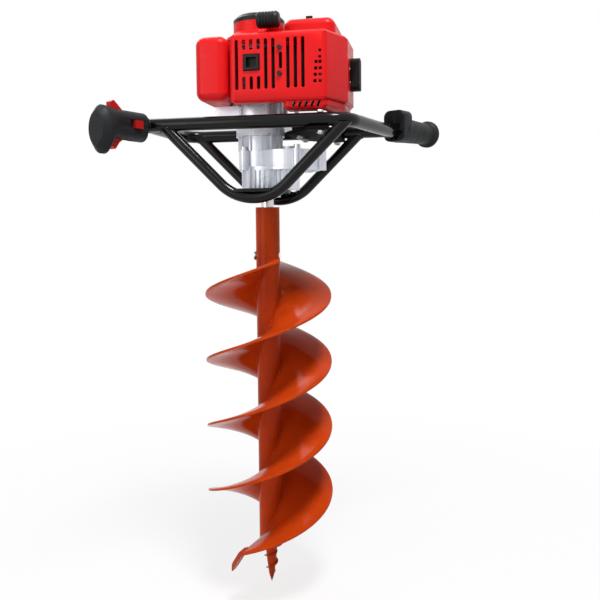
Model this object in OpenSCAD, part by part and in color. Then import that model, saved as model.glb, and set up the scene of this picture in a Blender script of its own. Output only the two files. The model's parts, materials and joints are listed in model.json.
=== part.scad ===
// One-man petrol earth auger: engine, reduction gearbox, handle frame and double-start bit.
// Origin at the point of the pilot screw, on the bit's axis, +Z up. Millimetres.

/* [Auger bit] */
// Diameter that the flights sweep
flight_d = 200; // [160:5:230]
// Thickness of the flight plate
flight_t = 4; // [3:0.5:6]
// Height that one flight climbs in one turn
flight_lead = 209; // [190:1:230]
// Length of each flight along the axis
flight_len = 440; // [400:1:448]
// Height of the flights' lower ends above the lower end of the tube
flight_lift = 15; // [12:0.5:18]
// Angle of the lower end of the first flight
flight_angle = 76; // [60:1:90]
// Outside diameter of the bit's tube
bit_tube_d = 38; // [37:0.5:42]
// Wall of the bit's tube
bit_tube_wall = 3; // [2.5:0.25:3.5]
// Length of the bit's tube
bit_tube_len = 537; // [525:1:560]
// Length of the pilot screw below the tube
pilot_len = 69; // [60:1:80]
// Diameter of the pilot screw's thread at its top
pilot_d = 26; // [22:0.5:28]
// Length of a cutter along its cutting direction
cutter_len = 36; // [30:1:42]
// Width of a cutter
cutter_w = 19; // [16:0.5:24]
// Thickness of a cutter
cutter_t = 6; // [4:0.5:7]
// Angle by which a cutter points down from level
cutter_dip = 58; // [50:1:64]
// Distance of a cutter from the flight's rim
cutter_inset = 3; // [2:0.5:6]
// Diameter of the cross pin that holds the bit
pin_d = 10; // [8:0.5:11]
// Depth of the cross pin below the tube's upper end
pin_drop = 76; // [66:1:80]

/* [Gearbox] */
// Diameter of the output shaft
shaft_d = 20; // [18:0.5:21]
// Length of shaft that shows between the bit and the gearbox
shaft_show = 16; // [12:1:24]
// Length of shaft inside the bit
shaft_reach = 92; // [88:1:110]
// Teeth on the input pinion
input_teeth = 11; // [10:1:11]
// Teeth on the idler's large gear
idler_teeth = 65; // [60:1:66]
// Module of the first pair of gears
first_module = 1.25; // [1.2:0.01:1.27]
// Teeth on the idler's pinion
pinion_teeth = 10; // [10:1:11]
// Teeth on the output gear
output_teeth = 40; // [38:1:40]
// Module of the second pair of gears
second_module = 1.5; // [1.45:0.01:1.52]
// Height of the lower gear case
lower_case_h = 36; // [36:0.5:40]
// Height of the upper gear case
upper_case_h = 24.5; // [24.5:0.5:28]
// Wall of the gear cases
case_wall = 3.5; // [3:0.25:4]
// Height of the clutch housing's neck
neck_h = 23; // [23:0.5:27]
// Height of the clutch housing's bell
bell_h = 29; // [28:0.5:34]
// Outside radius of the clutch housing's neck
neck_r = 31; // [30.5:0.25:33]

/* [Frame] */
// Diameter of the frame tubes
frame_d = 20; // [18:0.5:22]
// Wall of the frame tubes and hoops
frame_wall = 2; // [1.5:0.25:2.5]
// Distance of each frame tube from the bit's axis
frame_half = 84; // [80:0.5:90]
// Distance of the frame's right corner from the bit's axis
corner_x = 138; // [132:1:144]
// Distance of the frame's left corner from the bit's axis
left_corner_x = 165; // [160:1:170]
// Centreline radius of the frame's corners
corner_r = 35; // [30:1:40]
// Angle that the front tube turns at the right corner, seven across for twenty-four back
corner_turn = 73.7398; // [72:0.0001:78]
// Length of a handle's own tube
handle_tube_len = 78; // [70:1:80]
// Outward turn of the right handle
right_turn = 12; // [6:1:16]
// Outward turn of the left handle
left_turn = 20; // [12:1:24]
// Diameter of the hoops' tube
hoop_d = 17; // [15:0.5:18]
// Centreline radius of the hoops' lower bend
hoop_r = 70; // [60:1:80]
// Height of the frame tubes above the hoops' lowest centreline
hoop_rise = 110.5; // [106:0.5:116]
// Thickness of the cradle plate and the mounting plate
plate_t = 5; // [4:0.5:6]

/* [Handles] */
// Length of the right grip between the outsides of its flanges
grip_len = 118; // [110:1:130]
// Radius of the right grip at its inner end
grip_r = 21; // [19:0.5:23]
// Height of the grip's centre above its tube
grip_rise = 5; // [3:0.5:6]
// Length of the throttle handle without its hand stop
throttle_len = 74; // [72:1:84]
// Half width of the throttle handle
throttle_half = 16; // [15:0.25:18]
// Depth of the throttle handle below its tube
throttle_drop = 27; // [25:0.5:30]

/* [Engine] */
// Outside radius of the crankcase
crankcase_r = 40; // [38:0.5:42]
// Height of the crankcase
crankcase_h = 105; // [102:1:110]
// Distance of the cylinder's head face from the crankshaft
cylinder_len = 130; // [126:1:134]
// Radius of the cooling fins
fin_r = 35; // [32:0.5:36]
// Radius of the flywheel
flywheel_r = 46; // [42:0.5:47]
// Distance of the engine cover's front face from the crankshaft
cover_front = 90; // [88:0.5:94]
// Height of the engine cover
cover_h = 100; // [96:1:104]
// Wall of the moulded covers
cover_wall = 3; // [2.5:0.25:3.5]
// Width of a cooling slot
slot_w = 5; // [4:0.25:6]
// Distance between cooling slots
slot_pitch = 10.9; // [10.5:0.1:11.2]
// Width of the fuel tank
tank_w = 50; // [46:0.5:52]
// Depth of the fuel tank from front to back
tank_depth = 163; // [158:1:166]
// Height of the fuel tank
tank_h = 95; // [90:1:100]
// Radius of the fuel cap
cap_r = 20; // [18:0.5:21]
// Radius of the starter cap
starter_r = 40; // [38:0.5:42]
// Radius on which the starter rope winds
pulley_r = 30; // [28:0.5:31]

/* [Hidden] */

$fn = 64;
// Clearance between turning pieces and between pieces pushed together
run_gap = 0.05;
// Clearance between pieces that slide past each other in the open
free_gap = 0.4;
// Overlap of a cut past the face that it opens
cut = 1;
// Reach of a cut that clears the whole part
all_out = 1200;

// Heights of the stack from the point of the pilot screw upwards
tube_z = pilot_len;
tube_top = tube_z + bit_tube_len;
pin_z = tube_top - pin_drop;
flight_z = tube_z + flight_lift;
seal_h = 10.5;
boss_z = tube_top + shaft_show;
case_z = boss_z + seal_h;
split_z = case_z + lower_case_h;
case_top = split_z + upper_case_h;
neck_top = case_top + neck_h;
crankcase_z = neck_top + bell_h;
crankcase_top = crankcase_z + crankcase_h;
cylinder_z = crankcase_z + 61;
hoop_z = case_z - plate_t - hoop_d / 2 - run_gap;
frame_z = hoop_z + hoop_rise;

// Gear axes: output at the bit's axis, idler to its right, input to its left
second_centres = second_module * (pinion_teeth + output_teeth) / 2;
first_centres = first_module * (input_teeth + idler_teeth) / 2;
idler_x = second_centres;
input_x = idler_x - first_centres;
pressure_angle = 25;
tooth_tip = 0.8;
tooth_root = 1.1;
backlash = 0.3;
gear_floor = 8;
output_gear_z = case_z + 11.5;
output_gear_h = 14;
idler_gear_z = split_z + gear_floor + 2;
idler_gear_h = 8;
bearing_h = 7;
output_bearing_r = 16;
idler_shaft_d = 10;
idler_bearing_r = 11;
input_shaft_d = 10;
input_bearing_r = 13;
output_cavity_r = second_module * output_teeth / 2 + second_module + 1.5;
idler_cavity_r = first_module * idler_teeth / 2 + first_module + 1.2;
input_cavity_r = 14;
drum_r = neck_r - 3.5;
drum_wall = 2.5;
drum_z = case_top + 6.5;
drum_h = 22;
shoe_gap = 1;

// Bolts
m6_r = 3;
m6_head_r = 5;
m6_head_h = 6;
m4_r = 2;
m4_head_r = 3.5;
m4_head_h = 2.5;

// Places of the gear case bolts round the split line
idler_bolt_r = idler_cavity_r + case_wall + m6_r;
input_bolt_r = neck_r + m6_head_r + 1;
case_bolts = concat(
  [for (a = [-66, 0, 66]) [idler_x, 0] + idler_bolt_r * [cos(a), sin(a)]],
  [for (a = [-120, 120]) [input_x, 0] + input_bolt_r * [cos(a), sin(a)]]
);
case_boss_r = 7.5;

// Frame plan: each tube turns at its own corner, crosses the other tube's end and runs on as a handle.
// A side lists the distance and turn of its corner and the outward turn of its handle.
half_turn = 180;
square_turn = 90;
past_joint = 15;
mitre_spare = frame_d / 2;
right_side = [corner_x, corner_turn, right_turn];
left_side = [left_corner_x, square_turn, left_turn];
function side_tangent(side) = corner_r * tan(side[1] / 2);
function side_cross(side) = 2 * frame_half / sin(side[1]);
function side_joint(side) = side[0] + side_cross(side) * cos(side[1]);
function side_start(side) =
  [side[0], -frame_half] + (side_cross(side) + past_joint) * [cos(side[1]), sin(side[1])];
right_start = side_start(right_side);
right_heading = corner_turn - right_turn;
left_start = -side_start(left_side);
left_heading = half_turn + square_turn - left_turn;

// Point reached by a bend from a point and heading, left turns positive
function bend_end(p, h, r, a) = a >= 0
  ? p + r * [sin(h + a) - sin(h), cos(h) - cos(h + a)]
  : p + r * [sin(h) - sin(h + a), cos(h + a) - cos(h)];

// Hoops: a lower bend between two legs at 45 degrees
hoop_leg_turn = 45;
hoop_leg_x = hoop_r * sin(hoop_leg_turn);
hoop_leg_z = hoop_r * (1 - cos(hoop_leg_turn));
hoop_leg_len = (hoop_rise - hoop_leg_z) / sin(hoop_leg_turn);

// Mounting plate between the frame tubes, to the right of the clutch housing
mount_z = frame_z - frame_d / 2 - run_gap - plate_t;
mount_x0 = 40;
mount_x1 = 112;
frame_bolt_x = 100;
damper_x = 58;
damper_y = 24;
damper_h = 8;
damper_r = 12;
ear_t = 6;
ear_z = mount_z + plate_t + damper_h;

// Engine cover and its openings
cover_z = crankcase_z + 12;
cover_x0 = -34;
cover_x1 = 112;
cover_side_x = 134;
cover_back = 30;
cover_round = 9;
skirt_x0 = 45;
skirt_drop = 12;
slot_count = 10;
slot_depth = 8;
slot_x0 = -21.7;
slot_z0 = cover_z + 18;
slot_z1 = cover_z + cover_h - 10;
outlet_x0 = -12;
outlet_x1 = 13;
outlet_z0 = cover_z + 45;
outlet_z1 = outlet_z0 + 24;
outlet_y = -cover_front - 2;
screw_x = slot_x0 + 6 * slot_pitch - 1.5;
screw_zs = [cover_z + 39, cover_z + 76];
plug_hole_r = 17;
shroud_x0 = 34;
shroud_x1 = 114;
shroud_y0 = -34;
shroud_y1 = 64;
shroud_top = cylinder_z + 84;
shroud_round = 14;

// Fuel tank to the left of the crankcase
tank_x1 = -38;
tank_y0 = -88;
foot_h = 17;
tank_z = crankcase_z + foot_h + run_gap;
tank_round = 14;
neck_x = tank_x1 - tank_w / 2 - 4;
neck_y = tank_y0 + tank_depth - 26;
filler_r = 15;
filler_h = 6;
cap_h = 14;

// Recoil starter on top of the crankshaft
starter_z = crankcase_top;
skirt_r = flywheel_r + 6;
recess_r = skirt_r + 2;
skirt_h = 16;
starter_h = 39;
starter_cap_h = 12;
starter_wall = 3;
pulley_h = 10;
pulley_z = starter_z + 25;
post_r = 6;
rope_x = input_x + pulley_r;
rope_z = pulley_z + pulley_h / 2;
nozzle_y = -50;

// Bars, rings and rounded blocks
module ring(ro, ri, h) {
  difference() {
    cylinder(r = ro, h = h);
    translate([0, 0, -cut]) cylinder(r = ri, h = h + 2 * cut);
  }
}

module along_x() {
  rotate([0, 90, 0]) children();
}

module along_y() {
  rotate([-90, 0, 0]) children();
}

// Box from a low to a high corner with rounded edges
module soft_box(low, high, r) {
  hull() {
    for (x = [low[0] + r, high[0] - r], y = [low[1] + r, high[1] - r], z = [low[2] + r, high[2] - r])
      translate([x, y, z]) sphere(r = r, $fn = 24);
  }
}

// Rectangle with rounded corners
module rounded_rect(low, high, r) {
  hull() {
    for (x = [low[0] + r, high[0] - r], y = [low[1] + r, high[1] - r])
      translate([x, y]) circle(r = r, $fn = 32);
  }
}

module box(low, high) {
  translate(low) cube(high - low);
}

// Screw with a round head: head above the origin, shank below it
module screw(r, head_r, head_h, len) {
  cylinder(r = head_r, h = head_h);
  translate([0, 0, -len]) cylinder(r = r, h = len);
}

// Socket-headed bolt
module socket_bolt(len) {
  difference() {
    screw(m6_r, m6_head_r, m6_head_h, len);
    translate([0, 0, m6_head_h / 2]) cylinder(r = m6_r, h = m6_head_h, $fn = 6);
  }
}

// Tube along a path of [length, 0] runs and [radius, angle] bends, starting along +X
module tube_section(d, wall) {
  difference() {
    circle(d = d);
    if (wall > 0) circle(d = d - 2 * wall);
  }
}

module tube_path(steps, d, wall, i = 0) {
  if (i < len(steps)) {
    size = steps[i][0];
    turn = steps[i][1];
    if (turn == 0) {
      along_x() linear_extrude(size) tube_section(d, wall);
      translate([size, 0, 0]) tube_path(steps, d, wall, i + 1);
    } else {
      side = sign(turn);
      first = side > 0 ? -90 : 90 + turn;
      translate([0, side * size, 0]) rotate([0, 0, first])
        rotate_extrude(angle = abs(turn)) translate([size, 0]) tube_section(d, wall);
      end = bend_end([0, 0], 0, size, turn);
      translate([end[0], end[1], 0]) rotate([0, 0, turn]) tube_path(steps, d, wall, i + 1);
    }
  }
}

// Helical ribbon of square section; its radii run evenly from the lower to the upper end
module ribbon(steps_per_turn, lead, rise, inner, outer, t) {
  n = ceil(steps_per_turn * rise / lead);
  function corner(i, r, z) = let (a = 360 * rise * i / n / lead) [r * cos(a), r * sin(a), rise * i / n + z];
  function mix(pair, i) = pair[0] + (pair[1] - pair[0]) * i / n;
  points = [for (i = [0:n]) each [
    corner(i, mix(inner, i), 0),
    corner(i, mix(outer, i), 0),
    corner(i, mix(outer, i), t),
    corner(i, mix(inner, i), t)
  ]];
  sides = [for (i = [0:n - 1], k = [0:3]) let (a = 4 * i + k, b = 4 * i + (k + 1) % 4) each [
    [a, b, b + 4],
    [a, b + 4, a + 4]
  ]];
  last = 4 * n;
  ends = [[3, 2, 1], [3, 1, 0], [last, last + 1, last + 2], [last, last + 2, last + 3]];
  polyhedron(points = points, faces = concat(sides, ends));
}

// Involute gear outline
function involute(a) = tan(a) * 180 / PI - a;

function half_tooth(z, m, r) = let (base = z * m / 2 * cos(pressure_angle))
  let (a = r > base ? acos(base / r) : 0)
  90 / z - backlash / (2 * m * z) * 180 / PI + involute(pressure_angle) - involute(a);

module gear_outline(z, m) {
  root = m * (z / 2 - tooth_root);
  tip = m * (z / 2 + tooth_tip);
  radii = [root, root + (tip - root) * 0.35, root + (tip - root) * 0.7, tip];
  polygon([for (i = [0:z - 1]) each concat(
    [for (k = [0:3]) let (a = 360 * i / z - half_tooth(z, m, radii[k])) radii[k] * [cos(a), sin(a)]],
    [for (k = [3:-1:0]) let (a = 360 * i / z + half_tooth(z, m, radii[k])) radii[k] * [cos(a), sin(a)]]
  )]);
}

// Bit
module pilot_screw() {
  core_r = pilot_d / 2 - 4;
  plug_r = bit_tube_d / 2 - bit_tube_wall - run_gap;
  color("orangered") {
    rotate_extrude() polygon([
      [0, 0], [core_r / 2, pilot_len * 0.2], [core_r, pilot_len * 0.75], [core_r, pilot_len - 6],
      [bit_tube_d / 2, pilot_len - 6], [bit_tube_d / 2, pilot_len], [plug_r, pilot_len],
      [plug_r, pilot_len + 14], [0, pilot_len + 14]
    ]);
    translate([0, 0, pilot_len * 0.16]) ribbon(
      24, pilot_len * 0.29, pilot_len * 0.6, [core_r / 5, core_r * 0.7], [core_r * 0.9, pilot_d / 2], 3
    );
  }
}

module bit_tube() {
  color("orangered") difference() {
    translate([0, 0, tube_z]) ring(bit_tube_d / 2, bit_tube_d / 2 - bit_tube_wall, bit_tube_len);
    pin_bore();
  }
}

module pin_bore() {
  translate([-bit_tube_d, 0, pin_z]) along_x() cylinder(d = pin_d + 2 * run_gap, h = 2 * bit_tube_d);
}

module bit_hub() {
  color("dimgray") difference() {
    translate([0, 0, tube_top - shaft_reach])
      ring(bit_tube_d / 2 - bit_tube_wall - run_gap, shaft_d / 2 + run_gap, shaft_reach);
    pin_bore();
  }
}

module bit_pin() {
  color("silver") translate([-bit_tube_d / 2 - run_gap, 0, pin_z]) along_x() {
    cylinder(d = pin_d, h = bit_tube_d);
    translate([0, 0, -2.5]) cylinder(d = pin_d + 5, h = 2.5);
  }
}

flight_steps = 48;

module flight(turn) {
  inner = bit_tube_d / 2 / cos(180 / flight_steps) + run_gap;
  color("orangered") translate([0, 0, flight_z]) rotate([0, 0, turn])
    ribbon(flight_steps, flight_lead, flight_len, [inner, inner], [flight_d / 2, flight_d / 2], flight_t);
}

module flight_a() {
  flight(flight_angle);
}

module flight_b() {
  flight(flight_angle + half_turn);
}

// Cutter tooth carried on at the slope that the flight has at the tooth's middle radius
module cutter(turn) {
  reach = flight_d / 2 - cutter_inset;
  root = reach - cutter_w;
  color("chocolate") translate([0, 0, flight_z]) rotate([0, 0, turn]) difference() {
    rotate([cutter_dip, 0, 0]) difference() {
      linear_extrude(cutter_t) polygon([
        [root, cutter_len], [reach, cutter_len], [reach, -cutter_len * 0.5], [reach - 5, -cutter_len],
        [root + 4, -cutter_len], [root, -cutter_len * 0.8]
      ]);
      rotate([90, 0, 90]) linear_extrude(flight_d) polygon([
        [-cutter_len - cut, 1.2], [-cutter_len + 14, cutter_t + cut], [-cutter_len - cut, cutter_t + cut]
      ]);
    }
    box([0, -run_gap, -flight_d], [flight_d, flight_d, flight_d]);
    box([0, -flight_d, flight_t], [flight_d, flight_d, flight_d]);
  }
}

module cutters() {
  cutter(flight_angle);
  cutter(flight_angle + half_turn);
}

// Gear train
output_top = split_z + bearing_h - run_gap;

module output_shaft() {
  color("silver") difference() {
    translate([0, 0, tube_top - shaft_reach]) cylinder(d = shaft_d, h = output_top - tube_top + shaft_reach);
    pin_bore();
  }
}

module output_gear() {
  color("gray") difference() {
    translate([0, 0, output_gear_z]) linear_extrude(output_gear_h) gear_outline(output_teeth, second_module);
    translate([0, 0, output_gear_z - cut]) cylinder(d = shaft_d + 2 * run_gap, h = output_gear_h + 2 * cut);
    for (a = [30:60:330]) rotate([0, 0, a]) translate([(shaft_d + second_module * output_teeth) / 4, 0, 0])
      translate([0, 0, output_gear_z - cut]) cylinder(r = 4, h = output_gear_h + 2 * cut);
  }
}

idler_low = case_z + 2;
idler_high = case_top + 3.5;

module idler_shaft() {
  color("gray") translate([idler_x, 0, 0]) {
    translate([0, 0, idler_low]) cylinder(d = idler_shaft_d, h = idler_high - idler_low);
    translate([0, 0, output_gear_z - 1]) rotate([0, 0, 180 / pinion_teeth])
      linear_extrude(output_gear_h + 2) gear_outline(pinion_teeth, second_module);
  }
}

module idler_gear() {
  color("gray") translate([idler_x, 0, idler_gear_z]) difference() {
    rotate([0, 0, idler_teeth % 2 == 1 ? 0 : 180 / idler_teeth])
      linear_extrude(idler_gear_h) gear_outline(idler_teeth, first_module);
    translate([0, 0, -cut]) cylinder(d = idler_shaft_d + 2 * run_gap, h = idler_gear_h + 2 * cut);
    for (a = [0:60:300]) rotate([0, 0, a]) translate([first_module * idler_teeth / 3.2, 0, -cut])
      cylinder(r = 6, h = idler_gear_h + 2 * cut);
  }
}

module input_pinion() {
  color("gray") translate([input_x, 0, 0]) {
    translate([0, 0, idler_gear_z - 1]) linear_extrude(idler_gear_h + 1.5)
      gear_outline(input_teeth, first_module);
    translate([0, 0, idler_gear_z - 1]) cylinder(d = input_shaft_d, h = drum_z + 4 - idler_gear_z + 1);
  }
}

module clutch_drum() {
  color("dimgray") translate([input_x, 0, drum_z]) difference() {
    cylinder(r = drum_r, h = drum_h);
    translate([0, 0, 3]) cylinder(r = drum_r - drum_wall, h = drum_h);
    translate([0, 0, -cut]) cylinder(d = input_shaft_d + 2 * run_gap, h = drum_h);
  }
}

// Outline of the upper gear case round the idler gear and the input pinion
module upper_outline(grow) {
  hull() {
    translate([idler_x, 0]) circle(r = idler_cavity_r + grow);
    translate([input_x, 0]) circle(r = input_cavity_r + grow);
  }
}

module case_bosses(h) {
  for (p = case_bolts) translate(p) cylinder(r = case_boss_r, h = h);
}

module case_bolt_bores(z0, z1) {
  for (p = case_bolts) translate([p[0], p[1], z0]) cylinder(r = m6_r + run_gap, h = z1 - z0);
}

split_flange = 6;

module gearbox_lower() {
  floor_z = case_z + bearing_h + 2;
  color("lightgray") difference() {
    union() {
      translate([0, 0, case_z]) cylinder(r = output_cavity_r + case_wall, h = lower_case_h);
      translate([0, 0, boss_z]) cylinder(r = output_bearing_r + 5, h = seal_h + 2);
      translate([idler_x, 0, case_z]) cylinder(r = idler_bearing_r + case_wall, h = lower_case_h);
      translate([0, 0, split_z - split_flange]) linear_extrude(split_flange) upper_outline(case_wall);
      translate([0, 0, split_z - split_flange]) case_bosses(split_flange);
      for (a = [120:30:240]) rotate([0, 0, a]) translate([output_cavity_r, -1.5, case_z])
        cube([case_wall + 4, 3, lower_case_h]);
    }
    translate([0, 0, floor_z]) cylinder(r = output_cavity_r, h = lower_case_h);
    translate([idler_x, 0, floor_z]) cylinder(r = idler_bearing_r, h = lower_case_h);
    translate([0, 0, case_z + 1]) cylinder(r = output_bearing_r + run_gap, h = lower_case_h);
    translate([idler_x, 0, idler_low]) cylinder(r = idler_bearing_r + run_gap, h = bearing_h + cut);
    translate([0, 0, boss_z - cut]) cylinder(r = output_bearing_r - 1, h = seal_h);
    translate([0, 0, boss_z]) cylinder(r = shaft_d / 2 + 1, h = lower_case_h);
    case_bolt_bores(split_z - split_flange - cut, split_z + cut);
  }
}

module gearbox_upper() {
  boss_r = idler_bearing_r + case_wall;
  color("lightgray") difference() {
    union() {
      translate([0, 0, split_z]) linear_extrude(upper_case_h) upper_outline(case_wall);
      translate([input_x, 0, split_z]) cylinder(r = neck_r, h = upper_case_h);
      translate([0, 0, split_z]) case_bosses(upper_case_h);
      translate([idler_x, 0, case_top]) cylinder(r = boss_r, h = bearing_h);
    }
    translate([0, 0, split_z + gear_floor])
      linear_extrude(upper_case_h - gear_floor - case_wall) upper_outline(0);
    translate([0, 0, split_z - cut]) cylinder(r = output_bearing_r + run_gap, h = bearing_h + cut);
    translate([idler_x, 0, split_z - cut]) cylinder(r = idler_bearing_r, h = upper_case_h);
    translate([idler_x, 0, case_top - case_wall - cut])
      cylinder(r = idler_bearing_r + run_gap, h = bearing_h + cut + run_gap);
    translate([input_x, 0, case_top - case_wall - cut])
      cylinder(r = input_bearing_r + run_gap, h = case_wall + 2 * cut);
    case_bolt_bores(split_z - cut, case_top + cut);
  }
}

module bearing(x, z, ro, d) {
  translate([x, 0, z]) ring(ro, d / 2 + run_gap, bearing_h - run_gap);
}

module bearings() {
  color("silver") {
    bearing(0, case_z + 1, output_bearing_r, shaft_d);
    bearing(0, split_z, output_bearing_r, shaft_d);
    bearing(idler_x, idler_low, idler_bearing_r, idler_shaft_d);
    bearing(idler_x, case_top - case_wall, idler_bearing_r, idler_shaft_d);
    bearing(input_x, case_top - case_wall, input_bearing_r, input_shaft_d);
    for (z = [crankcase_z + 2, crankcase_top - 10])
      translate([input_x, 0, z]) ring(shaft_r + 7, shaft_r + run_gap, 8);
  }
}

module output_seal() {
  color("black") translate([0, 0, boss_z + 1])
    ring(output_bearing_r - 1 - run_gap, shaft_d / 2 + run_gap, seal_h - 3);
}

module gearbox_bolts() {
  color("silver") for (p = case_bolts)
    translate([p[0], p[1], case_top]) socket_bolt(upper_case_h + split_flange);
}

module clutch_housing() {
  bell_r = crankcase_r - 2;
  color("lightgray") difference() {
    union() {
      translate([input_x, 0, case_top]) cylinder(r = neck_r, h = neck_h);
      translate([input_x, 0, neck_top]) cylinder(r = bell_r, h = bell_h);
      for (a = [15:30:345]) translate([input_x, 0, 0]) rotate([0, 0, a])
        translate([neck_r - 1, -1.5, case_top]) cube([5, 3, neck_h]);
      box([input_x, -damper_y - damper_r, ear_z], [damper_x + damper_r, damper_y + damper_r, ear_z + ear_t]);
    }
    translate([input_x, 0, case_top + 5]) cylinder(r = neck_r - 2.5, h = neck_h + bell_h);
    translate([input_x, 0, neck_top]) cylinder(r = bell_r - 4, h = bell_h + cut);
    translate([input_x, 0, case_top - cut]) cylinder(r = input_bearing_r + run_gap, h = 4.5 + cut);
    translate([input_x, 0, case_top]) cylinder(r = input_shaft_d / 2 + 1, h = neck_h);
    translate([idler_x, 0, case_top - cut])
      cylinder(r = idler_bearing_r + case_wall + 0.5, h = bearing_h + 2 * cut);
    for (y = [-damper_y, damper_y]) translate([damper_x, y, ear_z - cut])
      cylinder(r = m6_r + run_gap, h = ear_t + 2 * cut);
  }
}

// Engine internals that turn with the crankshaft
crank_low = drum_z + 6;
shaft_r = 8;
web_r = 29;
web_h = 9;
web_gap = 10;

module clutch_shoes() {
  r = drum_r - drum_wall - shoe_gap;
  color("dimgray") translate([input_x, 0, crank_low + 1]) difference() {
    cylinder(r = r, h = drum_h - 9);
    translate([0, 0, -cut]) cylinder(r = 6 + run_gap, h = drum_h);
    for (a = [0:90:270]) rotate([0, 0, a]) translate([12, -1.5, -cut]) cube([r, 3, drum_h]);
    for (a = [45:90:315]) rotate([0, 0, a]) translate([16, 0, -cut]) cylinder(r = 3, h = drum_h);
  }
}

module crankshaft() {
  color("silver") translate([input_x, 0, 0]) {
    translate([0, 0, crank_low]) cylinder(r = 6, h = crankcase_z - crank_low);
    translate([0, 0, crankcase_z]) cylinder(r = shaft_r, h = cylinder_z - web_gap / 2 - crankcase_z);
    translate([0, 0, cylinder_z - web_gap / 2 - web_h]) cylinder(r = web_r, h = web_h);
    translate([16, 0, cylinder_z - web_gap / 2]) cylinder(r = 7, h = web_gap);
    translate([0, 0, cylinder_z + web_gap / 2]) cylinder(r = web_r, h = web_h);
    translate([0, 0, cylinder_z + web_gap / 2])
      cylinder(r = shaft_r, h = crankcase_top - cylinder_z - web_gap / 2);
    translate([0, 0, crankcase_top]) cylinder(r = 6, h = 18);
  }
}

module flywheel() {
  color("gray") translate([input_x, 0, crankcase_top + 1]) difference() {
    union() {
      cylinder(r = flywheel_r, h = 4);
      cylinder(r = 14, h = 14);
      for (a = [0:24:336]) rotate([0, 0, a]) translate([22, -1.2, 3]) cube([flywheel_r - 24, 2.4, 10]);
    }
    translate([0, 0, -cut]) cylinder(r = 6 + run_gap, h = 20);
  }
}

// Engine block
module crankcase() {
  flange_t = 4;
  color("lightgray") difference() {
    union() {
      translate([input_x, 0, crankcase_z]) cylinder(r = crankcase_r, h = crankcase_h);
      translate([input_x, 0, crankcase_top - flange_t]) cylinder(r = skirt_r, h = flange_t);
      box([input_x, -30, cylinder_z - 32], [input_x + crankcase_r + 6, 30, cylinder_z + 32]);
      box([tank_x1 - tank_w + tank_round, -30, crankcase_z], [input_x, 30, crankcase_z + foot_h]);
      for (a = [-60:30:240]) translate([input_x, 0, 0]) rotate([0, 0, a])
        translate([crankcase_r - 1, -2, crankcase_z]) cube([5, 4, crankcase_h * 0.4]);
    }
    translate([input_x, 0, crankcase_z + 12]) cylinder(r = web_r + 2, h = crankcase_h - 24);
    translate([input_x, 0, crankcase_z - cut]) cylinder(r = shaft_r + 7 + run_gap, h = crankcase_h + 2 * cut);
    translate([input_x, 0, cylinder_z]) along_x() cylinder(r = 21, h = crankcase_r + 10);
  }
}

fin_count = 9;
fin_pitch = 8;

module cylinder_barrel_x(x, r, h) {
  translate([input_x + x, 0, cylinder_z]) along_x() cylinder(r = r, h = h);
}

module cylinder_block() {
  start = crankcase_r + 6;
  color("silver") difference() {
    union() {
      cylinder_barrel_x(start, 25, cylinder_len - start);
      for (i = [0:fin_count - 1]) cylinder_barrel_x(start + 4 + i * fin_pitch, fin_r, 2);
      box([50, -fin_r - 8, cylinder_z - 14], [84, 0, cylinder_z + 14]);
      box([50, 0, cylinder_z - 12], [76, fin_r + 4, cylinder_z + 12]);
    }
    cylinder_barrel_x(start - cut, 20, cylinder_len - start - 12);
    cylinder_barrel_x(start, 5 + run_gap, cylinder_len);
  }
}

head_x = input_x + cylinder_len;

module spark_plug() {
  color("white") translate([head_x, 0, cylinder_z]) along_x() {
    translate([0, 0, -11]) cylinder(r = 5, h = 11);
    cylinder(r = 8, h = 6, $fn = 6);
    translate([0, 0, 6]) cylinder(r = 4.5, h = 14);
  }
}

module plug_cap() {
  x0 = cover_side_x + free_gap;
  color("black") difference() {
    union() {
      translate([x0, 0, cylinder_z]) rotate([90, 0, 90]) linear_extrude(14)
        rounded_rect([-12, -24], [12, 24], 6);
      translate([head_x + 7, 0, cylinder_z]) along_x() cylinder(r = 9, h = x0 - head_x - 5);
    }
    translate([head_x + 6, 0, cylinder_z]) along_x() cylinder(r = 4.5 + run_gap, h = 14 + run_gap);
  }
}

muffler_y = -fin_r - 8;

module muffler() {
  color("gray") soft_box(
    [outlet_x0, -cover_front + 10, cylinder_z - 30],
    [92, muffler_y - run_gap, cylinder_z + 32],
    6
  );
}

module exhaust_outlet() {
  color("black") difference() {
    box(
      [outlet_x0 + 1, outlet_y, outlet_z0 + 1],
      [outlet_x1 - 1, -cover_front + 10 - run_gap, outlet_z1 - 1]
    );
    box([outlet_x0 + 5, outlet_y - cut, outlet_z0 + 5], [outlet_x1 - 5, -cover_front + 6, outlet_z1 - 5]);
  }
}

module ignition_coil() {
  front = crankcase_r + run_gap;
  color("black") {
    box([input_x - 14, front + 9, crankcase_top - 28], [input_x + 14, front + 28, crankcase_top - 6]);
    box([input_x - 10, front, crankcase_top - 24], [input_x + 10, front + 9, crankcase_top - 10]);
  }
}

// Carburettor behind the cylinder, and the air filter behind it
carb_x = 63;
carb_half = 13;
carb_y = fin_r + 4 + run_gap;
carb_depth = 30;
throat_r = 8;
bowl_r = 9;
filter_y = carb_y + carb_depth;
filter_depth = 34;
filter_split = 16;
filter_wall = 3;
filter_round = 8;
filter_low = [24, filter_y, cylinder_z - 36];
filter_high = [106, filter_y + filter_depth, cylinder_z + 40];
foam_gap = 1;

module throat() {
  translate([carb_x, carb_y - cut, cylinder_z]) along_y()
    cylinder(r = throat_r, h = carb_depth + filter_split);
}

module carburettor() {
  color("silver") difference() {
    union() {
      box(
        [carb_x - carb_half, carb_y, cylinder_z - 16],
        [carb_x + carb_half, filter_y - run_gap, cylinder_z + 14]
      );
      translate([carb_x, carb_y + 12, cylinder_z - 22]) cylinder(r = bowl_r, h = 10);
    }
    throat();
  }
}

module filter_form() {
  soft_box(filter_low, filter_high, filter_round);
}

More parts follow.
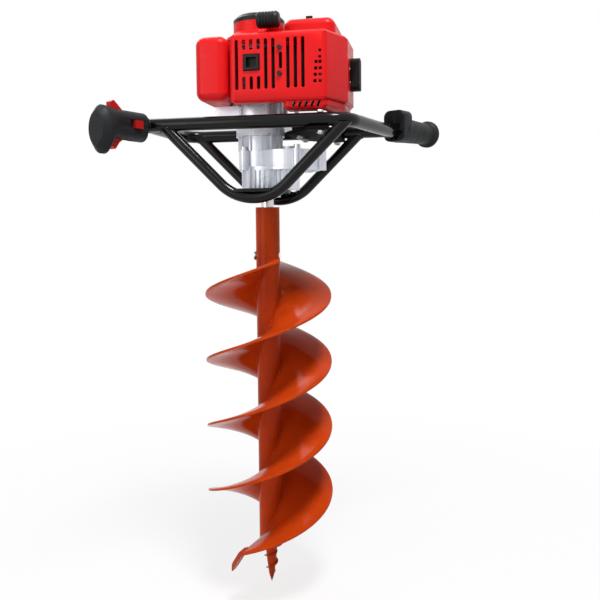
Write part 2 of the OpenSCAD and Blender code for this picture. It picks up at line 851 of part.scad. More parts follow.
// Room in the filter, less a margin on each side, from one depth to another
module filter_room(margin, y0, y1) {
  box(
    [filter_low[0] + margin, filter_y + y0, filter_low[2] + margin],
    [filter_high[0] - margin, filter_y + y1, filter_high[2] - margin]
  );
}

module filter_case() {
  color("black") difference() {
    filter_form();
    filter_room(filter_wall, filter_wall, filter_depth);
    filter_room(-cut, filter_split, filter_depth + cut);
    throat();
  }
}

module filter_element() {
  color("khaki") filter_room(filter_wall + foam_gap, filter_wall + run_gap, filter_split - foam_gap);
}

module filter_cover() {
  color("black") difference() {
    filter_form();
    filter_room(-cut, -cut, filter_split + run_gap);
    filter_room(filter_wall + foam_gap, 0, filter_depth - 10);
  }
}

// Red covers
// Closed form with upright rounded corners and bevelled rims, from the corner posts of its plan
module bevelled(plan, z0, z1, r, bevel) {
  hull() {
    for (p = plan) translate([p[0], p[1], z0 + bevel]) cylinder(r = r, h = z1 - z0 - 2 * bevel, $fn = 32);
    for (p = plan) translate([p[0], p[1], z0]) cylinder(r = r - bevel, h = z1 - z0, $fn = 32);
  }
}

cover_plan = [
  [cover_x0 + cover_round, -cover_front + cover_round], [cover_x1 - cover_round, -cover_front + cover_round],
  [cover_side_x - cover_round, -34], [cover_side_x - cover_round, cover_back + 20],
  [cover_x0 + cover_round, cover_back + 20]
];

skirt_plan = [
  [skirt_x0 + cover_round, -cover_front + cover_round + 4],
  [cover_x1 - cover_round, -cover_front + cover_round + 4],
  [cover_side_x - cover_round - 4, -34], [cover_side_x - cover_round - 4, cover_back],
  [skirt_x0 + cover_round, cover_back]
];

cover_bevel = 5;

// Round space that the crankcase and the starter stand in
module engine_recess(r) {
  translate([input_x, 0, 0]) cylinder(r = r, h = 2 * crankcase_top);
}

module cover_slots() {
  for (i = [0:slot_count - 1]) {
    x = slot_x0 + i * slot_pitch;
    short = i >= 1 && i <= 3;
    split = i == 6;
    spans = short ? [[slot_z0, slot_z0 + 19], [slot_z1 - 15, slot_z1]]
      : split ? [[slot_z0 + 28, slot_z1 - 20]]
      : [[slot_z0, slot_z1]];
    for (s = spans) slot_cut(x, s[0], s[1]);
  }
  side_vents();
}

// Small vents beside the slots: rows of two short slots, then two round holes
vent_x = 91.5;
vent_step = 7.5;
vent_size = 4.5;
vent_pitch = 9;

module side_vents() {
  low = slot_z0 + 6;
  for (k = [0:3]) {
    for (x = [vent_x + 0.6 * k, vent_x + vent_step]) box(
      [x, -cover_front - cut, low + k * vent_pitch],
      [x + vent_size, -cover_front + slot_depth, low + k * vent_pitch + vent_size]
    );
  }
  for (k = [4, 5]) translate([vent_x + vent_step + 2, -cover_front - cut, low + k * vent_pitch]) along_y()
    cylinder(d = vent_size, h = slot_depth + cut, $fn = 16);
}

module slot_cut(x, z0, z1) {
  box(
    [x - slot_w / 2, -cover_front - cut, z0 + slot_w / 2],
    [x + slot_w / 2, -cover_front + slot_depth, z1 - slot_w / 2]
  );
  for (z = [z0 + slot_w / 2, z1 - slot_w / 2]) translate([x, -cover_front - cut, z]) along_y()
    cylinder(d = slot_w, h = slot_depth + cut, $fn = 16);
}

module engine_cover() {
  top = cover_z + cover_h;
  color("red") difference() {
    bevelled(cover_plan, cover_z, top, cover_round, cover_bevel);
    bevelled(
      cover_plan, cover_z + cover_wall, top - cover_wall,
      cover_round - cover_wall, cover_bevel - cover_wall / 2
    );
    box([-all_out, cover_back, 0], [all_out, all_out, all_out]);
    box([cover_x0 + 8, -74, 0], [cover_side_x - 32, 100, cover_z + cover_wall + cut]);
    cover_slots();
    box([outlet_x0, -cover_front - cut, outlet_z0], [outlet_x1, -cover_front + slot_depth, outlet_z1]);
    for (z = screw_zs) translate([screw_x, -cover_front - cut, z]) along_y()
      cylinder(r = m4_r + run_gap, h = slot_depth);
    translate([head_x - 20, 0, cylinder_z]) along_x() cylinder(r = plug_hole_r, h = 60);
    engine_recess(recess_r);
    box(
      [shroud_x0 - free_gap, shroud_y0 - free_gap, top - 8],
      [shroud_x1 + free_gap, cover_back + cut, top + cut]
    );
  }
}

module lower_cover() {
  top = cover_z - run_gap;
  color("red") difference() {
    bevelled(skirt_plan, cover_z - skirt_drop, top + cover_bevel, cover_round, cover_bevel);
    bevelled(
      skirt_plan, cover_z - skirt_drop + cover_wall, top + 30,
      cover_round - cover_wall, cover_bevel - 2
    );
    box([-all_out, -all_out, top], [all_out, all_out, all_out]);
    box([-all_out, cover_back - 10, 0], [all_out, all_out, all_out]);
    box([-100, -60, 0], [cover_side_x - 30, 200, cover_z - 4]);
    for (k = [0:4]) translate([58 + 9 * k, -cover_front - 2, cover_z - skirt_drop + 4]) rotate([0, 25, 0])
      cube([4, 12, 11]);
  }
}

module cylinder_shroud() {
  low = [shroud_x0, shroud_y0, cylinder_z + fin_r - 20];
  high = [shroud_x1, shroud_y1, shroud_top];
  color("red") difference() {
    union() {
      difference() {
        soft_box(low, high, shroud_round);
        soft_box(
          low + [cover_wall, cover_wall, -20],
          high - [cover_wall, cover_wall, cover_wall],
          shroud_round - 2
        );
      }
      box([shroud_x0 + 6, -2, cylinder_z], [shroud_x1 - 6, 2, shroud_top - 6]);
    }
    box([0, -100, 0], [200, 100, cylinder_z + fin_r + run_gap]);
    engine_recess(recess_r);
  }
}

module choke_lever() {
  color("black") translate([70, 15, shroud_top + run_gap]) {
    cylinder(r = 7, h = 4);
    translate([-3, -16, 0]) cube([6, 16, 4]);
    translate([-5, -18, 0]) cube([10, 4, 9]);
  }
}

module fuel_tank() {
  low = [tank_x1 - tank_w, tank_y0, tank_z];
  high = [tank_x1, tank_y0 + tank_depth, tank_z + tank_h];
  skin = [cover_wall, cover_wall, cover_wall];
  color("red") difference() {
    union() {
      difference() {
        soft_box(low, high, tank_round);
        engine_recess(recess_r);
      }
      translate([neck_x, neck_y, tank_z + tank_h - 10]) cylinder(r = filler_r + 3, h = 10 + filler_h);
    }
    difference() {
      soft_box(low + skin, high - skin, tank_round - cover_wall);
      engine_recess(recess_r + cover_wall);
    }
    translate([neck_x, neck_y, tank_z + tank_h - 12]) cylinder(r = filler_r, h = 14 + filler_h);
  }
}

module fuel_cap() {
  color("black") translate([neck_x, neck_y, tank_z + tank_h + filler_h + run_gap]) {
    difference() {
      cylinder(r = cap_r, h = cap_h);
      for (a = [0:30:330]) rotate([0, 0, a]) translate([cap_r + 1, 0, -cut])
        cylinder(r = 2.5, h = cap_h + 2 * cut);
    }
    translate([0, 0, -8]) cylinder(r = filler_r - run_gap, h = 8);
  }
}

// Recoil starter
module starter_housing() {
  color("red") translate([input_x, 0, starter_z]) {
    difference() {
      rotate_extrude() polygon([
        [0, 0], [skirt_r, 0], [skirt_r, skirt_h],
        [starter_r, skirt_h + 8], [starter_r, starter_h], [0, starter_h]
      ]);
      translate([0, 0, -cut]) rotate_extrude() polygon([
        [0, 0], [skirt_r - starter_wall, 0], [skirt_r - starter_wall, skirt_h],
        [starter_r - starter_wall, skirt_h + 9], [starter_r - starter_wall, starter_h + 2 * cut],
        [0, starter_h + 2 * cut]
      ]);
      for (a = [200:20:340]) rotate([0, 0, a]) translate([skirt_r - 8, -3, 4]) cube([12, 6, 8]);
      translate([rope_x - input_x, -starter_r, rope_z - starter_z]) rotate([90, 0, 0])
        translate([0, 0, -30]) cylinder(r = 3, h = 60);
    }
    difference() {
      translate([rope_x - input_x, nozzle_y, rope_z - starter_z]) along_y() cylinder(r = 8, h = 26);
      translate([0, 0, skirt_h]) cylinder(r = starter_r - starter_wall, h = starter_h);
      translate([rope_x - input_x, nozzle_y - cut, rope_z - starter_z]) along_y() cylinder(r = 3, h = 40);
    }
  }
}

module starter_cap() {
  z = starter_z + starter_h;
  roof = starter_cap_h - starter_wall;
  pulley_low = pulley_z - z;
  pulley_high = pulley_low + pulley_h + free_gap;
  color("black") translate([input_x, 0, z]) {
    difference() {
      rotate_extrude() polygon([
        [0, 0], [starter_r, 0], [starter_r, starter_cap_h - 6],
        [starter_r - 6, starter_cap_h], [0, starter_cap_h]
      ]);
      translate([0, 0, -cut]) cylinder(r = starter_r - starter_wall, h = roof);
      for (a = [0:30:330]) rotate([0, 0, a]) translate([18, -1.5, starter_cap_h - 5]) cube([14, 3, 8]);
    }
    translate([0, 0, pulley_low - 4]) cylinder(r = post_r, h = roof - pulley_low + 4);
    translate([0, 0, pulley_high]) cylinder(r = post_r + 5, h = roof - pulley_high);
    translate([0, 0, pulley_low - 4]) cylinder(r = post_r + 3, h = 4 - run_gap);
  }
}

module starter_pulley() {
  color("white") translate([input_x, 0, pulley_z]) difference() {
    rotate_extrude() polygon([
      [post_r + run_gap, 0], [pulley_r + 4, 0], [pulley_r + 4, 2], [pulley_r, 4], [pulley_r, pulley_h - 4],
      [pulley_r + 4, pulley_h - 2], [pulley_r + 4, pulley_h], [post_r + run_gap, pulley_h]
    ]);
    for (a = [0:60:300]) rotate([0, 0, a]) translate([18, 0, -cut]) cylinder(r = 5, h = pulley_h + 2 * cut);
  }
}

module pull_handle() {
  color("black") translate([rope_x, nozzle_y - free_gap / 2, rope_z]) {
    translate([0, -14, 0]) along_x() rotate_extrude() polygon([
      [0, -17], [9, -17], [12, -12], [12, 12], [9, 17], [0, 17]
    ]);
    translate([0, -8, 0]) along_y() cylinder(r1 = 7, r2 = 6, h = 8);
  }
}

// Handle frame
// Space beyond the mitre between a frame tube and its handle tube
module past_mitre(side) {
  size = 4 * frame_d;
  start = side_start(side);
  translate([start[0], start[1], frame_z]) rotate([0, 0, side[1] - side[2] / 2])
    translate([0, -size / 2, -size / 2]) cube(size);
}

// One tube: its first end is coped to the other tube, its second end turns back across the frame
module frame_tube(side, other, bolt_x) {
  far = side_joint(other);
  start_x = far - frame_d / 8;
  tangent = side_tangent(side);
  cross_run = side_cross(side) - tangent + past_joint + mitre_spare;
  steps = [[start_x + side[0] - tangent, 0], [corner_r, side[1]], [cross_run, 0]];
  color("black") difference() {
    translate([-start_x, -frame_half, frame_z]) tube_path(steps, frame_d, frame_wall);
    translate([-far, -frame_half, frame_z]) rotate([0, 0, other[1]])
      translate([-3 * frame_d, 0, 0]) along_x() cylinder(d = frame_d + 2 * run_gap, h = 6 * frame_d);
    past_mitre(side);
    translate([bolt_x, -frame_half, mount_z]) cylinder(r = m6_r + run_gap, h = 3 * frame_d);
  }
}

module front_frame_tube() {
  frame_tube(right_side, left_side, frame_bolt_x);
}

module rear_frame_tube() {
  rotate([0, 0, half_turn]) frame_tube(left_side, right_side, -frame_bolt_x);
}

// Handle tube, mitred to the end of its frame tube
module handle_tube(side) {
  start = side_start(side);
  color("black") intersection() {
    translate([start[0], start[1], frame_z]) rotate([0, 0, side[1] - side[2]])
      translate([-mitre_spare, 0, 0]) along_x() linear_extrude(handle_tube_len + mitre_spare)
        tube_section(frame_d, frame_wall);
    past_mitre(side);
  }
}

module right_handle_tube() {
  handle_tube(right_side);
}

module left_handle_tube() {
  rotate([0, 0, half_turn]) handle_tube(left_side);
}

// Run of the front hoop: a leg, the lower bend and the other leg
module hoop_run(d, wall) {
  steps = [[hoop_leg_len, 0], [hoop_r, 2 * hoop_leg_turn], [hoop_leg_len, 0]];
  translate([-hoop_leg_x - hoop_leg_len * cos(hoop_leg_turn), -frame_half, frame_z]) rotate([90, 0, 0])
    rotate([0, 0, -hoop_leg_turn]) tube_path(steps, d, wall);
}

// Hoop, coped to the frame tube above it
module hoop(side, other) {
  far = side_joint(other);
  run = [[far + side[0] - side_tangent(side), 0], [corner_r, side[1]]];
  color("black") difference() {
    hoop_run(hoop_d, frame_wall);
    translate([-far, -frame_half, frame_z]) tube_path(run, frame_d + 2 * run_gap, 0);
    translate([-2 * corner_x, -frame_half - frame_d, frame_z - frame_d / 4])
      cube([4 * corner_x, 2 * frame_d, 2 * frame_d]);
  }
}

module front_hoop() {
  hoop(right_side, left_side);
}

module rear_hoop() {
  rotate([0, 0, half_turn]) hoop(left_side, right_side);
}

// Plate under the gearbox, coped to sit over both hoops
module cradle_plate() {
  half_w = 28;
  color("dimgray") difference() {
    translate([0, 0, case_z - plate_t]) linear_extrude(plate_t - run_gap) difference() {
      union() {
        square([2 * half_w, 2 * frame_half + hoop_d], center = true);
        circle(r = output_cavity_r + 4);
      }
      circle(r = output_bearing_r + 5 + free_gap);
    }
    for (a = [0, half_turn]) rotate([0, 0, a]) hoop_run(hoop_d + 2 * run_gap, 0);
  }
}

module mount_plate() {
  color("dimgray") difference() {
    translate([0, 0, mount_z]) linear_extrude(plate_t) polygon([
      [mount_x0, -damper_y - damper_r], [frame_bolt_x - 16, -frame_half - frame_d / 2],
      [mount_x1, -frame_half - frame_d / 2], [mount_x1, frame_half + frame_d / 2],
      [frame_bolt_x - 16, frame_half + frame_d / 2], [mount_x0, damper_y + damper_r]
    ]);
    for (y = [-frame_half, frame_half]) translate([frame_bolt_x, y, mount_z - cut])
      cylinder(r = m6_r + run_gap, h = plate_t + 2 * cut);
    for (y = [-damper_y, damper_y]) translate([damper_x, y, mount_z - cut])
      cylinder(r = m6_r + run_gap, h = plate_t + 2 * cut);
  }
}

module mount_dampers() {
  color("black") for (y = [-damper_y, damper_y])
    translate([damper_x, y, mount_z + plate_t]) ring(damper_r, m6_r + run_gap, damper_h);
}

module frame_bolts() {
  tube_top_z = frame_z + frame_d / 2;
  color("silver") {
    for (y = [-frame_half, frame_half]) {
      translate([frame_bolt_x, y, tube_top_z + run_gap]) screw(m6_r, m6_head_r, 4, frame_d + plate_t + 6);
      translate([frame_bolt_x, y, mount_z - 5 - run_gap]) ring(m6_head_r + 0.5, m6_r, 5);
    }
    for (y = [-damper_y, damper_y]) {
      translate([damper_x, y, ear_z + ear_t + run_gap])
        screw(m6_r, m6_head_r, 4, ear_t + damper_h + plate_t + 6);
      translate([damper_x, y, mount_z - 5 - run_gap]) ring(m6_head_r + 0.5, m6_r, 5);
    }
  }
}

// Handles, each along its own +X from the end of its bend
module on_right() {
  translate([right_start[0], right_start[1], frame_z]) rotate([0, 0, right_heading]) children();
}

module on_left() {
  translate([left_start[0], left_start[1], frame_z]) rotate([0, 0, left_heading]) children();
}

module right_grip() {
  flange_x = grip_len - 13;
  color("darkslategray") on_right() difference() {
    union() {
      translate([handle_gap, 0, 0]) rotate([90, 0, 90]) linear_extrude(24)
        rounded_rect([-20, -15], [20, 36], 11);
      translate([0, 0, grip_rise]) along_x() rotate_extrude() polygon([
        [0, 20], [grip_r, 20], [grip_r - 3, flange_x], [grip_r + 2, flange_x + 4], [grip_r + 2, flange_x + 9],
        [grip_r - 2, grip_len], [12, grip_len], [10, grip_len + 6], [0, grip_len + 6]
      ]);
    }
    handle_bore();
  }
}

// Hand stop at the end of the throttle handle
stop_len = 18;
stop_half = 20;
stop_tall = 1.7;
stop_z = -15;

module throttle_section() {
  union() {
    circle(r = throttle_half);
    translate([-throttle_drop + throttle_half - 2, 0]) circle(r = throttle_half - 2);
    translate([-throttle_drop + throttle_half - 2, -throttle_half + 2])
      square([throttle_drop - throttle_half + 2, 2 * throttle_half - 4]);
  }
}

// The section's first axis stands for height
module throttle_prism(x, h) {
  translate([x, 0, 0]) rotate([0, 90, 0]) rotate([0, 0, 180]) linear_extrude(h) throttle_section();
}

// Clearance of the handles from the mitres, and of the levers in their slots
handle_gap = 3;
slot_gap = 0.4;
trigger_x = 36;
trigger_z = -17;
trigger_half = 5;
trigger_tip = [31, -20];
trigger_pin_r = 2.5;
trigger_pin_half = trigger_half + 4;
lever_x = 44;
lever_z = 12.6;
lever_half = 4.5;
lever_pin_r = 1.2;
lever_pin_half = lever_half + 1.8;
handle_screw_xs = [8, 20];
handle_screw_z = -throttle_drop + throttle_half - 2;
switch_x = 18;
switch_z = -4;
switch_travel = 5;

module pivot_bar(x, z, r, half) {
  translate([x, -half, z]) along_y() cylinder(r = r, h = 2 * half);
}

module stop_disc(x, r) {
  translate([x, 0, stop_z]) along_x() scale([stop_tall, 1, 1]) cylinder(r = r, h = 6, $fn = 32);
}

// Bore of a handle for its tube
module handle_bore() {
  translate([-cut, 0, 0]) along_x()
    cylinder(d = frame_d + 2 * run_gap, h = handle_tube_len + cut + run_gap);
}

module throttle_body() {
  trigger_slot = trigger_half + slot_gap;
  lever_slot = lever_half + slot_gap;
  difference() {
    union() {
      throttle_prism(handle_gap, throttle_len - handle_gap);
      hull() {
        throttle_prism(throttle_len - 12, 1);
        stop_disc(throttle_len + 3, stop_half);
        stop_disc(throttle_len + stop_len - 6, stop_half - 6);
      }
    }
    handle_bore();
    box(
      [trigger_x - 8, -trigger_slot, -throttle_drop - 40],
      [trigger_x + norm(trigger_tip) + slot_gap, trigger_slot, -frame_d / 2 - 1]
    );
    pivot_bar(trigger_x, trigger_z, trigger_pin_r + run_gap, trigger_pin_half + run_gap);
    box([lever_x - 6, -lever_slot, frame_d / 2 + slot_gap], [throttle_len - 4, lever_slot, 60]);
    pivot_bar(lever_x, lever_z, lever_pin_r + run_gap, lever_pin_half + run_gap);
    box([switch_x - 4, throttle_half - 4, switch_z - 6], [switch_x + 18 + switch_travel, 40, switch_z + 6]);
    for (x = handle_screw_xs) translate([x, -40, handle_screw_z]) along_y()
      cylinder(r = m4_r + run_gap, h = 40 + throttle_half - 5);
  }
}

module throttle_shell_inner() {
  color("darkslategray") on_left() intersection() {
    throttle_body();
    box([-10, 0, -100], [200, 100, 100]);
  }
}

module throttle_shell_outer() {
  color("darkslategray") on_left() intersection() {
    throttle_body();
    box([-10, -100, -100], [200, 0, 100]);
  }
}

module case_screws() {
  color("silver") {
    for (z = screw_zs) translate([screw_x, -cover_front - run_gap, z]) rotate([90, 0, 0])
      screw(m4_r, m4_head_r, m4_head_h, 10 - run_gap);
    on_left() for (x = handle_screw_xs) translate([x, -throttle_half + 2 - run_gap, handle_screw_z])
      rotate([90, 0, 0]) screw(m4_r, m4_head_r, m4_head_h, 2 * throttle_half - 8);
  }
}

module throttle_trigger() {
  color("red") on_left() {
    translate([trigger_x, trigger_half, trigger_z]) rotate([90, 0, 0])
      linear_extrude(2 * trigger_half) union() {
      circle(r = 5);
      polygon([[0, 4.5], [29, -8], trigger_tip, [24, -24], [16, -14], [0, -4.5]]);
    }
    pivot_bar(trigger_x, trigger_z, trigger_pin_r, trigger_pin_half);
  }
}

module lock_lever() {
  color("red") on_left() {
    translate([lever_x, lever_half, lever_z]) rotate([90, 0, 0]) linear_extrude(2 * lever_half) union() {
      circle(r = 2);
      polygon([[0, -1.8], [23, 2], [23, 12], [17, 15], [8, 8], [0, 1.8]]);
    }
    pivot_bar(lever_x, lever_z, lever_pin_r, lever_pin_half);
  }
}

module stop_switch() {
  out = throttle_half + 3;
  color("red") on_left() difference() {
    box([switch_x, throttle_half - 4 + run_gap, switch_z - 5.5], [switch_x + 14, out, switch_z + 5.5]);
    for (x = [3, 7, 11])
      box([switch_x + x - 0.6, out - 1.5, switch_z - 8], [switch_x + x + 0.6, out + cut, switch_z + 8]);
  }
}

pilot_screw();
bit_tube();
bit_hub();
bit_pin();
flight_a();
flight_b();
cutters();
output_shaft();
output_gear();
idler_shaft();
idler_gear();
input_pinion();
clutch_drum();
gearbox_lower();
gearbox_upper();
bearings();
output_seal();
gearbox_bolts();
clutch_housing();
clutch_shoes();
crankshaft();
flywheel();
crankcase();
cylinder_block();  // cylinder
spark_plug();
plug_cap();
muffler();
exhaust_outlet();
ignition_coil();
carburettor();
filter_case();
filter_element();
filter_cover();
choke_lever();
engine_cover();
lower_cover();
cylinder_shroud();
case_screws();
fuel_tank();
fuel_cap();
starter_housing();
starter_pulley();
starter_cap();
pull_handle();
front_frame_tube();
rear_frame_tube();
front_hoop();
rear_hoop();
cradle_plate();
mount_plate();
mount_dampers();
frame_bolts();
right_grip();
throttle_shell_inner();
throttle_shell_outer();
right_handle_tube();
left_handle_tube();
throttle_trigger();
lock_lever();
stop_switch();
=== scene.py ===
"""Looks of a one-man petrol earth auger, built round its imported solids.

Everything is in metres in the part's own frame: the origin is the point of the pilot screw,
+Z runs up the bit's axis, +X points to the right-hand grip and +Y to the back.
"""

import json
import logging
import math
from dataclasses import dataclass
from enum import Enum
from typing import Iterable, Sequence

import bmesh
import bpy
from mathutils import Matrix, Vector


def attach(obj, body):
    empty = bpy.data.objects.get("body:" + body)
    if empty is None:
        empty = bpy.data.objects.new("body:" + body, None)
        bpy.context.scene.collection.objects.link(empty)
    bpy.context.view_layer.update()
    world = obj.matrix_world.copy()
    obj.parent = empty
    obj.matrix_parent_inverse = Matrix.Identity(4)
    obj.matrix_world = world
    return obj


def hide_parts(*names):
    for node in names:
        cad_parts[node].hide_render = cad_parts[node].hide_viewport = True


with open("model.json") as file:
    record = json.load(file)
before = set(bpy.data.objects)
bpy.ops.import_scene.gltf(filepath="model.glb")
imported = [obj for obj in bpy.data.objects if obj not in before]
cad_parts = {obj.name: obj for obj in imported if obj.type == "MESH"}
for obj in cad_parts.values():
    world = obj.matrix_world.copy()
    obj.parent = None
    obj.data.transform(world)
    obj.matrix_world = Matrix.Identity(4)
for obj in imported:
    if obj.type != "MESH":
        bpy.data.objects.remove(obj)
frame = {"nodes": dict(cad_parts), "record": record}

Point = tuple[float, float, float]
Colour = tuple[float, float, float]
Span = tuple[float, float]
Ring = list[Vector]
Path = Sequence[Vector]
Spot = tuple[Vector, Point]
Object = bpy.types.Object
Socket = bpy.types.NodeSocket
Tree = bpy.types.NodeTree
Material = bpy.types.Material
Route = tuple[bpy.types.Node, str | int, bpy.types.Node, str | int]

LOG = logging.getLogger("auger")
MM = 0.001
MERGE = 1e-6
SMOOTH_DEGREES = 35.0
WHITE = (1.0, 1.0, 1.0, 1.0)

# Numbers that all finishes share. A noise is given by its waves per metre and its octaves.
COAT_ROUGHNESS = 0.12
BEVEL_SAMPLES = 4
MOTTLE_NOISE = (28.0, 5.0)
MOTTLE_STOPS = (0.3, 0.72)
MOTTLE_LIGHTER = 0.6
WEAR_NOISE = (160.0, 4.0)
WEAR_BORDER = (0.45, 0.65)
WEAR_TURN = (0.95, 0.75)
DRIFT_NOISE = (90.0, 3.0)
DRIFT_BAND = (0.3, 0.7)
DRIFT_REACH = 0.07
RELIEF_OCTAVES = 2.0
MACHINED_OCTAVES = 3.0
MACHINED_STRETCH = (1.0, 1.0, 14.0)


class Surface(Enum):
    """Ways in which a finish breaks up its surface."""

    PAINT = "paint"
    CAST = "cast"
    MOULDED = "moulded"
    MACHINED = "machined"
    FOAM = "foam"


def map_range(tree: Tree, value: Socket, source: Span, target: Span = (0.0, 1.0)) -> Socket:
    """Adds a node that maps one range of values onto another.

    Args:
        tree: Node tree that takes the node.
        value: Value that is mapped.
        source: Range that the value comes from.
        target: Range that it is mapped onto and kept within.

    Returns:
        The mapped value.
    """
    node = tree.nodes.new("ShaderNodeMapRange")
    for label, number in zip(("From Min", "From Max", "To Min", "To Max"), (*source, *target)):
        node.inputs[label].default_value = number
    tree.links.new(value, node.inputs["Value"])
    return node.outputs["Result"]


def combine(tree: Tree, operation: str, first: Socket, second: Socket) -> Socket:
    """Adds a math node on two values.

    Args:
        tree: Node tree that takes the node.
        operation: Name of the operation.
        first: First value.
        second: Second value.

    Returns:
        The result.
    """
    node = tree.nodes.new("ShaderNodeMath")
    node.operation = operation
    tree.links.new(first, node.inputs[0])
    tree.links.new(second, node.inputs[1])
    return node.outputs["Value"]


@dataclass(frozen=True)
class Finish:
    """A procedural finish for one material slot of the record.

    The colours are linear, the worn one shows along edges. Grain counts grains per metre, relief
    is their height and edge the radius that edges are softened to, both in metres. Mottle is the
    share by which the colour wanders. The name is given where it isn't the slot's.
    """

    slot: str
    colour: Colour
    roughness: float
    surface: Surface
    metallic: float = 0.0
    grain: float = 900.0
    relief: float = 0.00004
    mottle: float = 0.12
    worn: Colour = (0.5, 0.5, 0.5)
    wear: float = 0.0
    edge: float = 0.0007
    coat: float = 0.0
    specular: float = 0.5
    name: str = ""

    @property
    def title(self) -> str:
        """Name of the material."""
        return self.name or self.slot

    def material(self) -> Material:
        """Builds the node material.

        Returns:
            The finished material.
        """
        mat = bpy.data.materials.new(self.title)
        mat.use_nodes = True
        tree = mat.node_tree
        shader = tree.nodes["Principled BSDF"]
        shader.inputs["Metallic"].default_value = self.metallic
        shader.inputs["Coat Weight"].default_value = self.coat
        shader.inputs["Coat Roughness"].default_value = COAT_ROUGHNESS
        shader.inputs["Specular IOR Level"].default_value = self.specular
        place = tree.nodes.new("ShaderNodeTexCoord").outputs["Object"]
        bevel = tree.nodes.new("ShaderNodeBevel")
        bevel.samples = BEVEL_SAMPLES
        bevel.inputs["Radius"].default_value = self.edge
        softened = bevel.outputs["Normal"]
        colour = self._mottled_colour(tree, place)
        if self.wear > 0:
            colour = self._worn_colour(tree, place, softened, colour)
        tree.links.new(colour, shader.inputs["Base Color"])
        tree.links.new(self._roughness(tree, place), shader.inputs["Roughness"])
        tree.links.new(self._relief(tree, place, softened), shader.inputs["Normal"])
        return mat

    def _noise(self, tree: Tree, place: Socket, scale: float, detail: float) -> Socket:
        """Adds a noise texture.

        Args:
            tree: Node tree of the material.
            place: Coordinates that the noise reads.
            scale: Waves per metre.
            detail: Octaves.

        Returns:
            The noise's value socket.
        """
        noise = tree.nodes.new("ShaderNodeTexNoise")
        noise.inputs["Scale"].default_value = scale
        noise.inputs["Detail"].default_value = detail
        tree.links.new(place, noise.inputs["Vector"])
        return noise.outputs["Fac"]

    def _mottled_colour(self, tree: Tree, place: Socket) -> Socket:
        """Lets the base colour wander between a darker and a lighter shade.

        Args:
            tree: Node tree of the material.
            place: Coordinates that the noise reads.

        Returns:
            The colour.
        """
        ramp = tree.nodes.new("ShaderNodeValToRGB")
        shades = (1.0 - self.mottle, 1.0 + MOTTLE_LIGHTER * self.mottle)
        for stop, position, shade in zip(ramp.color_ramp.elements, MOTTLE_STOPS, shades):
            stop.position = position
            stop.color = (*(c * shade for c in self.colour), 1.0)
        tree.links.new(self._noise(tree, place, *MOTTLE_NOISE), ramp.inputs["Fac"])
        return ramp.outputs["Color"]

    def _worn_colour(self, tree: Tree, place: Socket, softened: Socket, colour: Socket) -> Socket:
        """Mixes the worn colour in where an edge turns.

        Args:
            tree: Node tree of the material.
            place: Coordinates for the broken border of the wear.
            softened: Normal with rounded edges.
            colour: Colour of the unworn surface.

        Returns:
            The mixed colour.
        """
        sharp = tree.nodes.new("ShaderNodeNewGeometry").outputs["Normal"]
        turn = tree.nodes.new("ShaderNodeVectorMath")
        turn.operation = "DOT_PRODUCT"
        tree.links.new(softened, turn.inputs[0])
        tree.links.new(sharp, turn.inputs[1])
        edge = map_range(tree, turn.outputs["Value"], WEAR_TURN)
        patches = self._noise(tree, place, *WEAR_NOISE)
        broken = map_range(tree, patches, WEAR_BORDER, (0.0, self.wear))
        mix = tree.nodes.new("ShaderNodeMix")
        mix.data_type = "RGBA"
        colours = {socket.name: socket for socket in mix.inputs if socket.type == "RGBA"}
        colours["B"].default_value = (*self.worn, 1.0)
        tree.links.new(colour, colours["A"])
        tree.links.new(combine(tree, "MULTIPLY", edge, broken), mix.inputs["Factor"])
        return next(s for s in mix.outputs if s.type == "RGBA")

    def _roughness(self, tree: Tree, place: Socket) -> Socket:
        """Returns a roughness that wanders a little round its middle value."""
        span = (self.roughness - DRIFT_REACH, self.roughness + DRIFT_REACH)
        return map_range(tree, self._noise(tree, place, *DRIFT_NOISE), DRIFT_BAND, span)

    def _relief(self, tree: Tree, place: Socket, softened: Socket) -> Socket:
        """Puts the fine texture of the surface on the softened normal.

        Args:
            tree: Node tree of the material.
            place: Coordinates that the texture reads.
            softened: Normal with rounded edges.

        Returns:
            The textured normal.
        """
        if self.surface in (Surface.CAST, Surface.FOAM):
            cells = tree.nodes.new("ShaderNodeTexVoronoi")
            cells.inputs["Scale"].default_value = self.grain
            tree.links.new(place, cells.inputs["Vector"])
            height = cells.outputs["Distance"]
        elif self.surface is Surface.MACHINED:
            stretch = tree.nodes.new("ShaderNodeMapping")
            stretch.inputs["Scale"].default_value = MACHINED_STRETCH
            tree.links.new(place, stretch.inputs["Vector"])
            height = self._noise(tree, stretch.outputs["Vector"], self.grain, MACHINED_OCTAVES)
        else:
            height = self._noise(tree, place, self.grain, RELIEF_OCTAVES)
        bump = tree.nodes.new("ShaderNodeBump")
        bump.inputs["Strength"].default_value = 1.0
        bump.inputs["Distance"].default_value = self.relief
        tree.links.new(height, bump.inputs["Height"])
        tree.links.new(softened, bump.inputs["Normal"])
        return bump.outputs["Normal"]


